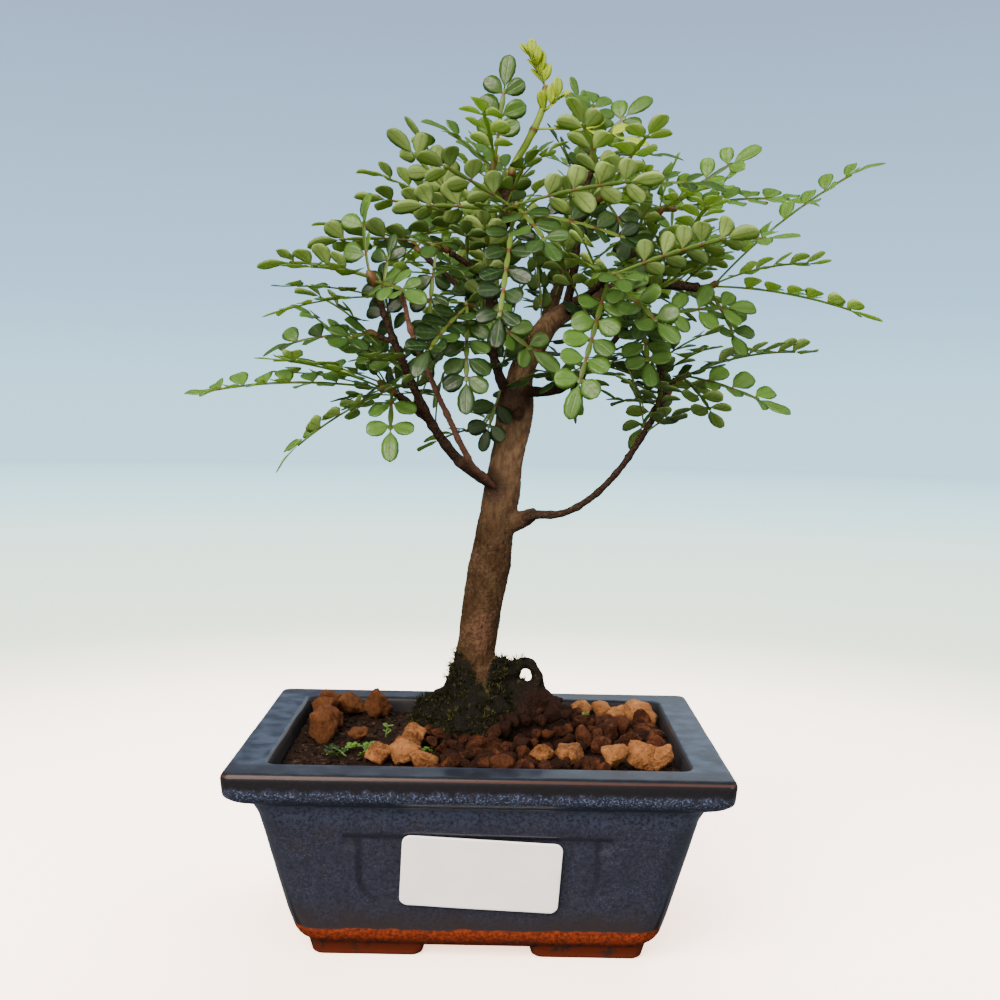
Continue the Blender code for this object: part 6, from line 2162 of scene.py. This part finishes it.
def bark_surface(settings):
    s = Surface("bark and moss bed")
    moss, young, red = s.attribute("bark")
    grain = s.clouds(0.55, 4.0, rough=0.7)
    fissure = s.clouds(1.0, 4.0, 3.0, sizes=(1.2, 1.2, 2.6))
    patch = s.clouds(5.0, 3.0, 8.0)
    mottle = s.clouds(0.9, 5.0, 6.0, rough=0.7)
    old = s.mix((fissure * 0.5 + mottle * 0.5).rise(0.34, 0.62), settings.bark_dark, settings.bark)
    old = s.mix((patch * 0.6 + mottle * 0.5).rise(0.52, 0.72) * 0.6, old, settings.bark_grey)
    old = s.mix(red * mottle.rise(0.3, 0.6) * 0.5, old, settings.bark_red)
    x, _, z = s.parts(s.place)
    # Painted light with the smoother upper bark: the trunk turns lighter from about 98 mm up.
    upper = s.mix(fissure.rise(0.30, 0.70), UPPER_GROOVE_PAINTED_LIGHT, UPPER_BARK_PAINTED_LIGHT)
    old = s.mix(z.rise(*UPPER_PAINTED_LIGHT_FROM) * 0.85, old, upper)
    twig = s.mix(grain.rise(0.35, 0.7), settings.twig_dark, settings.twig)
    twig = s.mix(red.rise(0.75, 1.0) * 0.7, twig, settings.bark_red)
    colour = s.mix(young, old, twig)
    lichen = s.cells(0.8).rise(0.25, 0.1) * patch.rise(0.45, 0.65) * (1 - moss)
    colour = s.mix(lichen * 0.35, colour, (0.17, 0.125, 0.085))
    bed = s.mix(grain.rise(0.35, 0.65), (0.0015, 0.0012, 0.0008), (0.0050, 0.0040, 0.002))
    bed = s.mix(s.clouds(1.6, 3.0, 12.0).rise(0.60, 0.72) * 0.8, bed, settings.moss)
    olive = s.clouds(2.6, 3.0, 15.0).rise(0.60, 0.74)
    bed = s.mix(olive * 0.6, bed, (0.050, 0.038, 0.010))
    earth = s.mix(grain.rise(0.35, 0.7), (0.003, 0.0013, 0.0008), (0.015, 0.0052, 0.0026))
    bed = s.mix((x + (patch - 0.5) * 12.0).rise(6.0, 13.0) * z.rise(64.0, 58.0), bed, earth)
    cover = (moss + (grain - 0.5) * 0.5).rise(0.32, 0.55)
    colour = s.mix(cover, colour, bed)
    s.set(Base_Color=colour, Roughness=0.72 + grain * 0.2 - young * 0.12, Specular_IOR_Level=MATTE)
    relief = fissure * (1 - young) + grain * 0.6 + s.cells(0.5) * 0.35
    s.set(Normal=s.bump(relief, 0.40))
    return s.material


def moss_surface(settings):
    s = Surface("moss leaves")
    height, lively, _ = s.attribute("moss")
    patch = s.clouds(4.0, 2.0)
    tip = s.mix((lively * 0.7 + patch).rise(0.9, 1.3), settings.moss, settings.moss_bright)
    colour = s.mix(height, (0.003, 0.004, 0.002), tip)
    s.set(Base_Color=colour, Roughness=0.6 + patch * 0.2, Normal=s.bump(patch, 0.02))
    s.set(Specular_IOR_Level=MATTE)
    s.let_through(0.15, tuple(settings.moss))
    return s.material


def leaf_surface(name, settings, young):
    s = Surface(name)
    across, along, side = s.attribute("blade")
    tint, red, woody = s.attribute("growth")
    off = abs(across)
    upper = side.rise(-0.1, 0.1)
    leaf_part = 1 - woody
    mottle = s.clouds(1.8, 1.5)
    speck = s.clouds(0.34, 1.0, 4.0)
    middle = off.rise(0.13, 0.02) * leaf_part
    vein = ((along * 8.0 - off * 2.2) * math.pi).sine()
    veins = vein.rise(0.86, 1.0) * off.rise(0.95, 0.5) * leaf_part
    if young:
        top = s.mix(tint, settings.young, settings.young_deep)
        under = s.mix(tint, settings.young_deep, settings.young)
    else:
        # The pale colours also carry painted light: leaves far from the crown's centre lean to them, inner
        # leaves to the dark ones.
        top = s.mix(tint.rise(0.1, 0.95), settings.upper, settings.upper_pale_and_painted_light)
        under = s.mix(tint.rise(0.0, 1.0), settings.under, settings.under_pale_and_painted_light)
    top = s.mix(mottle.rise(0.3, 0.75) * 0.2, top, settings.upper if not young else settings.young_deep)
    top = s.mix((middle + veins * 0.35) * 0.45, top, settings.vein)
    under = s.mix(speck.rise(0.60, 0.80) * 0.07, under, settings.upper)
    under = s.mix((middle + veins * 0.4) * 0.6, under, settings.under_vein)
    dots = s.cells(0.45).rise(0.24, 0.1) * off.rise(0.62, 0.85) * leaf_part
    top = s.mix(dots * 0.06, top, settings.under)
    colour = s.mix(upper, under, top)
    if young:
        stem = s.mix(tint, settings.young_deep, settings.rachis)
    else:
        stem = s.mix(tint, settings.rachis, settings.rachis_deep)
    stem = s.mix(red.rise(0.25, 0.8) * woody, stem, settings.joint)
    colour = s.mix(woody, colour, stem)
    s.set(Base_Color=colour)
    s.set(Roughness=0.60 - upper * 0.26 + mottle * 0.12)
    relief = (veins + middle) * -0.6 + s.clouds(1.5, 1.0, 3.0) * 0.8
    s.set(Normal=s.bump(relief, 0.07), IOR=1.42)
    s.let_through((0.45 + tint) * settings.light_through, tuple(settings.young if young else settings.glow))
    return s.material


def floor_surface(settings):
    """Pale floor that turns into the glow of the surround far from the plant."""
    s = Surface("studio floor")
    soft = s.clouds(60.0, 2.0)
    x, y, _ = s.parts(s.place)
    away = (x * x + y * y) ** 0.5
    far = away.rise(*FLOOR_FADE)
    near = s.mix(soft * 0.2, settings.floor, settings.floor_shade)
    glow = s.node("ShaderNodeValToRGB", {"stops": FLOOR_GLOW}, {0: away / FLOOR_RADIUS})
    s.set(Base_Color=s.mix(far, near, (0, 0, 0)), Emission_Color=s.mix(far, NEAR_GLOW, glow))
    s.set(Emission_Strength=settings.glow, Roughness=0.7, Specular_IOR_Level=0.0)
    return s.material


def surround_surface(settings):
    """The soft gradient behind the plant."""
    s = Surface("surround")
    height = s.parts(s.place)[2]
    glow = s.node("ShaderNodeValToRGB", {"stops": SURROUND_GLOW}, {0: height / SURROUND_HEIGHT})
    s.set(Base_Color=(0, 0, 0), Emission_Color=glow, Emission_Strength=settings.glow)
    s.set(Roughness=1.0, Specular_IOR_Level=0.0)
    return s.material


# Stage


FLOOR_RADIUS = 2400.0
FLOOR_SIDES = 96
FLOOR_RINGS = ((FLOOR_RADIUS, -20.0), (FLOOR_RADIUS, 0.0), (1000.0, 0.0), (300.0, 0.0), (80.0, 0.0))
FLOOR_FADE = (170.0, 480.0)
NEAR_GLOW = (2.9, 1.8, 1.25)
FLOOR_GLOW = [(0.0, (2.6, 2.75, 2.2)), (0.17, (2.385, 2.70, 2.12)), (0.58, (1.27, 2.06, 2.22)),
              (1.0, (0.86, 1.47, 1.81))]
SURROUND_RADIUS = 2450.0
SURROUND_LEVELS = 24
SURROUND_HEIGHT = 1500.0
SURROUND_GLOW = [(0.0, (0.9, 1.52, 1.85)), (0.09, (0.86, 1.47, 1.81)), (0.23, (0.635, 1.06, 1.44)),
                 (0.58, (0.477, 0.65, 0.96)), (1.0, (0.42, 0.58, 0.88))]
# Lamps: name, place, width and height, colour, and whether glossy surfaces mirror it
LAMPS = (
    ("key light", (-0.45, -0.75, 0.75), (0.9, 0.9), (1.0, 0.89, 0.80), True),
    ("fill light", (0.8, -0.5, 0.45), (0.8, 0.8), (1.0, 0.93, 0.86), True),
    ("low light", (0.05, -1.1, 0.06), (0.9, 0.4), (1.0, 0.95, 0.88), False),
    ("rim light", (0.15, 0.6, 0.9), (1.2, 0.8), (0.95, 0.98, 1.0), False),
    ("sheen card", (0.62, 1.05, 0.36), (1.6, 0.9), (0.80, 0.93, 1.0), True),
)
LAMP_TARGET_HEIGHT = 0.11
CAMERA_PLACE = (3.4, -340.0, 137.2)
CAMERA_LENS = 47.2
CAMERA_SENSOR = 36.0
CAMERA_YAW = math.radians(0.05)
CAMERA_PITCH = math.radians(4.46)
CAMERA_ROLL = math.radians(1.07)


def put_on_stage(name, body, finish):
    item = body.item(name, finish)
    item.visible_diffuse = False
    item.visible_glossy = False
    item.visible_transmission = False
    return item


def stage_circle():
    angles = turns(FLOOR_SIDES)
    return np.column_stack([np.cos(angles), np.sin(angles), np.zeros(FLOOR_SIDES)])


def make_floor(finish):
    body = Heap()
    body.add_skin([stage_circle() * radius + (0, 0, z) for radius, z in FLOOR_RINGS])
    put_on_stage("floor", body, finish)


def make_surround(finish):
    """A wide ball round the stage that only the camera sees."""
    body = Heap()
    rings = []
    for level in range(1, SURROUND_LEVELS):
        tilt = math.pi * (level / SURROUND_LEVELS - 0.5)
        rings.append((stage_circle() * math.cos(tilt) + (0, 0, math.sin(tilt))) * SURROUND_RADIUS)
    body.add_skin(rings)
    ball = put_on_stage("surround", body, finish)
    ball.visible_shadow = False


def make_lamp(power, target, name, place, size, colour, mirrored):
    lamp = bpy.data.lights.new(name, "AREA")
    lamp.shape = "RECTANGLE"
    lamp.size, lamp.size_y = size
    lamp.energy = power
    lamp.color = colour
    shown_lamp = bpy.data.objects.new(name, lamp)
    bpy.context.scene.collection.objects.link(shown_lamp)
    shown_lamp.location = place
    shown_lamp.visible_glossy = mirrored
    shown_lamp.rotation_euler = (Vector(target) - Vector(place)).to_track_quat("-Z", "Y").to_euler()


def make_camera():
    """The camera at the photograph's place and angle."""
    view = bpy.data.cameras.new("camera")
    view.lens = CAMERA_LENS
    view.sensor_width = CAMERA_SENSOR
    view.clip_start = 0.01
    camera = bpy.data.objects.new("camera", view)
    bpy.context.scene.collection.objects.link(camera)
    yaw, pitch, roll = CAMERA_YAW, CAMERA_PITCH, CAMERA_ROLL
    forward = Vector((math.sin(yaw) * math.cos(pitch), math.cos(yaw) * math.cos(pitch), -math.sin(pitch)))
    right = Vector((math.cos(yaw), -math.sin(yaw), 0))
    up = right.cross(forward)
    turned_right = right * math.cos(roll) + up * math.sin(roll)
    turned_up = up * math.cos(roll) - right * math.sin(roll)
    pose = Matrix((turned_right, turned_up, -forward)).transposed().to_4x4()
    pose.translation = (Vector(CAMERA_PLACE) + Vector(SHIFT)) * MM
    camera.matrix_world = pose
    bpy.context.scene.camera = camera


def make_stage(settings):
    make_floor(floor_surface(settings))
    make_surround(surround_surface(settings))
    centre = tuple(SHIFT * MM + (0, 0, LAMP_TARGET_HEIGHT))
    powers = (settings.key, settings.fill, settings.low, settings.rim, settings.sheen)
    for power, row in zip(powers, LAMPS):
        make_lamp(power, centre, *row)
    world = bpy.data.worlds.new("studio")
    world.use_nodes = True
    sky = world.node_tree.nodes["Background"]
    sky.inputs["Color"].default_value = (*tuple(settings.sky)[:3], 1)
    sky.inputs["Strength"].default_value = settings.sky_strength
    bpy.context.scene.world = world
    make_camera()


# Settings that a user would change


def colour_of(name, description, default):
    return bpy.props.FloatVectorProperty(
        name=name, description=description, subtype="COLOR", size=3, min=0.0, max=1.0, default=default
    )


def length_of(name, description, default, least, most):
    return bpy.props.FloatProperty(
        name=name, description=description, subtype="DISTANCE", unit="LENGTH", default=default,
        min=least, max=most, precision=5
    )


def share_of(name, description, default, least=0.0, most=1.0):
    return bpy.props.FloatProperty(
        name=name, description=description, subtype="FACTOR", default=default, min=least, max=most
    )


def strength_of(name, description, default):
    return bpy.props.FloatProperty(name=name, description=description, default=default, min=0.0, max=5.0)


def power_of(name, description, default):
    return bpy.props.FloatProperty(
        name=name, description=description, subtype="POWER", unit="POWER", default=default, min=0.0, max=500.0
    )


class PotSettings(bpy.types.PropertyGroup):
    unevenness: length_of("Unevenness", "How far the hand-made wall wanders", 0.00018, 0.0, 0.001)
    wave: length_of("Label wave", "How far the paper label stands off in soft waves", 0.00010, 0.0, 0.0003)
    glaze: colour_of("Glaze", "Main colour of the mottled glaze", (0.0185, 0.0195, 0.0315))
    glaze_deep: colour_of("Deep glaze", "Dark spots of the glaze", (0.0075, 0.008, 0.0125))
    glaze_speck: colour_of("Glaze specks", "Fine light specks of the glaze", (0.038, 0.047, 0.082))
    glaze_grey: colour_of("Grey glaze", "Broad greyer patches of the glaze", (0.020, 0.0140, 0.0130))
    glaze_pale: colour_of("Pale glaze", "Light blue where the glaze ran under the rim", (0.048, 0.070, 0.125))
    rim: colour_of("Rim", "Level top of the rim", (0.006, 0.010, 0.019))
    rim_light: colour_of("Rim light", "Brushed light streaks on the top of the rim", (0.024, 0.035, 0.057))
    clay: colour_of("Clay", "Bare clay below the glaze", (0.21, 0.030, 0.0045))
    clay_dark: colour_of("Dark clay", "Burnt shade of the bare clay", (0.060, 0.0085, 0.0020))
    paper: colour_of("Paper", "Label paper", (0.86, 0.835, 0.82))
    paper_shade: colour_of("Paper shade", "Faint grey shading of the label paper", (0.74, 0.715, 0.70))


class GroundSettings(bpy.types.PropertyGroup):
    relief: length_of("Relief", "Height of the soil's unevenness", 0.0008, 0.0, 0.002)
    crumb: length_of("Crumb", "Size of a large crumb of soil", 0.0010, 0.0004, 0.003)
    grain: share_of("Grain size", "Lava grains, beside their usual 4 to 9 mm", 1.0, 0.6, 1.4)
    roughness: share_of("Stone roughness", "How uneven the faces of the stones are", 0.13, 0.0, 0.3)
    soil: colour_of("Soil", "Lighter grains of the soil", (0.012, 0.0055, 0.0028))
    soil_dark: colour_of("Dark soil", "Damp dark soil", (0.0028, 0.0016, 0.0010))
    soil_red: colour_of("Red soil", "Reddish soil beside the roots", (0.036, 0.0105, 0.0045))
    tan: colour_of("Tan stone", "Large tan grains", (0.165, 0.066, 0.021))
    tan_dark: colour_of("Dark tan", "Shaded parts of the tan grains", (0.040, 0.0135, 0.0045))
    tan_pale: colour_of("Pale tan", "Dusty parts of the tan grains", (0.265, 0.114, 0.040))
    lava: colour_of("Lava stone", "Red-brown lava grains", (0.030, 0.0092, 0.0034))
    lava_dark: colour_of("Dark lava", "Damp dark lava grains", (0.0085, 0.0032, 0.0016))
    lava_pale: colour_of("Pale lava", "Dry faces of the lava grains", (0.072, 0.0225, 0.0080))


class WoodSettings(bpy.types.PropertyGroup):
    detail: length_of("Detail", "Side of the smallest faces on the wood", 0.00046, 0.0003, 0.002)
    tufts: bpy.props.IntProperty(name="Moss tufts", description="Tufts on the swollen base",
                                 default=1150, min=0, max=6000)
    tuft_height: length_of("Moss height", "Height of a usual moss leaf", 0.0013, 0.0003, 0.003)
    bark: colour_of("Bark", "Grey-brown bark of the trunk", (0.034, 0.0180, 0.0073))
    bark_dark: colour_of("Bark fissures", "Dark fissures in the bark", (0.014, 0.0070, 0.0030))
    bark_grey: colour_of("Grey bark", "Weathered patches", (0.056, 0.035, 0.0190))
    bark_red: colour_of("Red bark", "Reddish patches and the bare twig", (0.115, 0.055, 0.034))
    twig: colour_of("Twig", "Thin boughs", (0.042, 0.022, 0.0130))
    twig_dark: colour_of("Dark twig", "Dark spots of the thin boughs", (0.009, 0.0055, 0.0035))
    moss: colour_of("Moss", "Green of the moss", (0.0062, 0.0088, 0.0022))
    moss_bright: colour_of("Bright moss", "Yellow-green tips of the moss", (0.11, 0.12, 0.018))


class LeafSettings(bpy.types.PropertyGroup):
    spacing: length_of("Pair spacing", "Distance between leaflet pairs", 0.0056, 0.003, 0.012)
    leaflet: length_of("Leaflet", "Usual length of a leaflet", 0.0061, 0.003, 0.012)
    thickness: length_of("Thickness", "Thickness of a leaflet", 0.00030, 0.0001, 0.0008)
    fullness: share_of("Fullness", "Leaflet size beside the room between pairs", 1.0, 0.5, 1.2)
    light_through: share_of("Light through", "Share of the light that shines through a leaf", 0.36)
    upper: colour_of("Upper side", "Dark glossy upper side", (0.0036, 0.0150, 0.0028))
    # The light upper and under sides serve both paler leaves and painted light on the outer leaves.
    upper_pale_and_painted_light: colour_of("Light upper side", "Upper side of the paler leaves", (0.082, 0.178, 0.030))
    under: colour_of("Underside", "Yellow-green underside", (0.032, 0.070, 0.0095))
    under_pale_and_painted_light: colour_of("Light underside", "Underside of the paler leaves", (0.300, 0.420, 0.120))
    vein: colour_of("Vein", "Midvein seen from above", (0.050, 0.105, 0.016))
    under_vein: colour_of("Underside vein", "Midvein seen from below", (0.055, 0.085, 0.010))
    rachis: colour_of("Midrib", "Winged midrib and stem", (0.080, 0.130, 0.018))
    rachis_deep: colour_of("Deep midrib", "Older midribs and stems", (0.030, 0.058, 0.009))
    joint: colour_of("Joint", "Red-brown dots where leaflets join", (0.085, 0.022, 0.010))
    young: colour_of("Young leaf", "Bright leaves of the leader", (0.34, 0.42, 0.022))
    young_deep: colour_of("Deep young leaf", "Greener parts of the leader", (0.19, 0.29, 0.018))
    glow: colour_of("Light through colour", "Colour of light that shines through", (0.34, 0.48, 0.060))


class StageSettings(bpy.types.PropertyGroup):
    floor: colour_of("Floor", "Pale floor", (0.93, 0.90, 0.88))
    floor_shade: colour_of("Floor shade", "Faint shading of the floor", (0.88, 0.86, 0.85))
    sky: colour_of("Room light", "Colour of the light from all round", (0.86, 0.92, 1.0))
    sky_strength: strength_of("Room light strength", "Light from all round", 0.22)
    glow: strength_of("Surround glow", "Brightness of the gradient behind", 1.0)
    key: power_of("Key light", "Front left light", 56.0)
    fill: power_of("Fill light", "Front right light", 10.0)
    low: power_of("Low light", "Weak light from the front, under the crown", 6.0)
    rim: power_of("Rim light", "Light from behind and above", 34.0)
    sheen: power_of("Sheen card", "Weak glow that the glaze mirrors", 2.0)


SETTINGS = {
    "pepper_pot": PotSettings,
    "pepper_ground": GroundSettings,
    "pepper_wood": WoodSettings,
    "pepper_leaves": LeafSettings,
    "pepper_stage": StageSettings,
}


# Operators


class PEPPER_OT_pot(bpy.types.Operator):
    """Builds the glazed pot with its recessed panels, feet and drain holes"""

    bl_idname = "pepper.pot"
    bl_label = "Pot"

    def execute(self, context):
        settings = context.scene.pepper_pot
        make_pot(settings, glaze_surface(settings))
        return {"FINISHED"}


class PEPPER_OT_label(bpy.types.Operator):
    """Builds the blank paper label on the pot's front face"""

    bl_idname = "pepper.label"
    bl_label = "Label"

    def execute(self, context):
        settings = context.scene.pepper_pot
        make_label(settings, paper_surface(settings))
        return {"FINISHED"}


class PEPPER_OT_drain_meshes(bpy.types.Operator):
    """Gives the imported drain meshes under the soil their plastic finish"""

    bl_idname = "pepper.drain_meshes"
    bl_label = "Drain meshes"

    def execute(self, context):
        finish = mesh_surface()
        for name in ("drain_mesh_left", "drain_mesh_right"):
            node = frame["nodes"][name]
            for place in node.material_slots:
                place.material = finish
            if not node.material_slots:
                raise RuntimeError(f"{name} has no material slot")
        return {"FINISHED"}


class PEPPER_OT_soil(bpy.types.Operator):
    """Builds the soil with its crumbs"""

    bl_idname = "pepper.soil"
    bl_label = "Soil"

    def execute(self, context):
        settings = context.scene.pepper_ground
        make_soil(settings, soil_surface(settings))
        return {"FINISHED"}


class PEPPER_OT_stones(bpy.types.Operator):
    """Builds the tan grains and the lava grains"""

    bl_idname = "pepper.stones"
    bl_label = "Stones"

    def execute(self, context):
        settings = context.scene.pepper_ground
        tan = stone_surface("tan grain", settings.tan_dark, settings.tan, settings.tan_pale, 0.35)
        lava = stone_surface("lava grain", settings.lava_dark, settings.lava, settings.lava_pale, 1.0)
        make_tan_stones(settings, tan)
        make_lava_stones(settings, lava)
        return {"FINISHED"}


class PEPPER_OT_wood(bpy.types.Operator):
    """Builds the trunk, its roots and its boughs as one skin of bark, and the moss on its base"""

    bl_idname = "pepper.wood"
    bl_label = "Wood and moss"

    def execute(self, context):
        settings = context.scene.pepper_wood
        wood = make_wood(settings, bark_surface(settings))
        make_moss(settings, moss_surface(settings), wood)
        return {"FINISHED"}


class PEPPER_OT_leaves(bpy.types.Operator):
    """Builds every leafy shoot and the sprouts on the soil"""

    bl_idname = "pepper.leaves"
    bl_label = "Leaves"

    def execute(self, context):
        settings = context.scene.pepper_leaves
        mature = leaf_surface("pepper leaf", settings, False)
        young = leaf_surface("young pepper leaf", settings, True)
        make_shoots(settings, mature, young)
        make_sprouts(mature)
        return {"FINISHED"}


class PEPPER_OT_stage(bpy.types.Operator):
    """Builds the floor, the soft lights and the camera"""

    bl_idname = "pepper.stage"
    bl_label = "Stage"

    def execute(self, context):
        make_stage(context.scene.pepper_stage)
        return {"FINISHED"}


OPERATORS = (
    PEPPER_OT_pot,
    PEPPER_OT_label,
    PEPPER_OT_drain_meshes,
    PEPPER_OT_soil,
    PEPPER_OT_stones,
    PEPPER_OT_wood,
    PEPPER_OT_leaves,
    PEPPER_OT_stage,
)


class VIEW3D_PT_pepper(bpy.types.Panel):
    """Lists the pepper tree's settings and builders"""

    bl_label = "Pepper Tree"
    bl_space_type = "VIEW_3D"
    bl_region_type = "UI"
    bl_category = "Pepper Tree"

    def draw(self, context):
        layout = self.layout
        for operator in OPERATORS:
            layout.operator(operator.bl_idname)
        for name, group in SETTINGS.items():
            box = layout.box()
            box.label(text=name.replace("_", " ").title())
            for key in group.__annotations__:
                box.prop(getattr(context.scene, name), key)


CLASSES = (*SETTINGS.values(), *OPERATORS, VIEW3D_PT_pepper)


def register():
    for item in CLASSES:
        bpy.utils.register_class(item)
    for name, group in SETTINGS.items():
        setattr(bpy.types.Scene, name, bpy.props.PointerProperty(type=group))


def unregister():
    for name in SETTINGS:
        delattr(bpy.types.Scene, name)
    for item in reversed(CLASSES):
        bpy.utils.unregister_class(item)


def main():
    register()
    bpy.ops.pepper.pot()
    bpy.ops.pepper.label()
    bpy.ops.pepper.drain_meshes()
    bpy.ops.pepper.soil()
    bpy.ops.pepper.stones()
    bpy.ops.pepper.wood()
    bpy.ops.pepper.leaves()
    bpy.ops.pepper.stage()


if __name__ == "__main__":
    main()
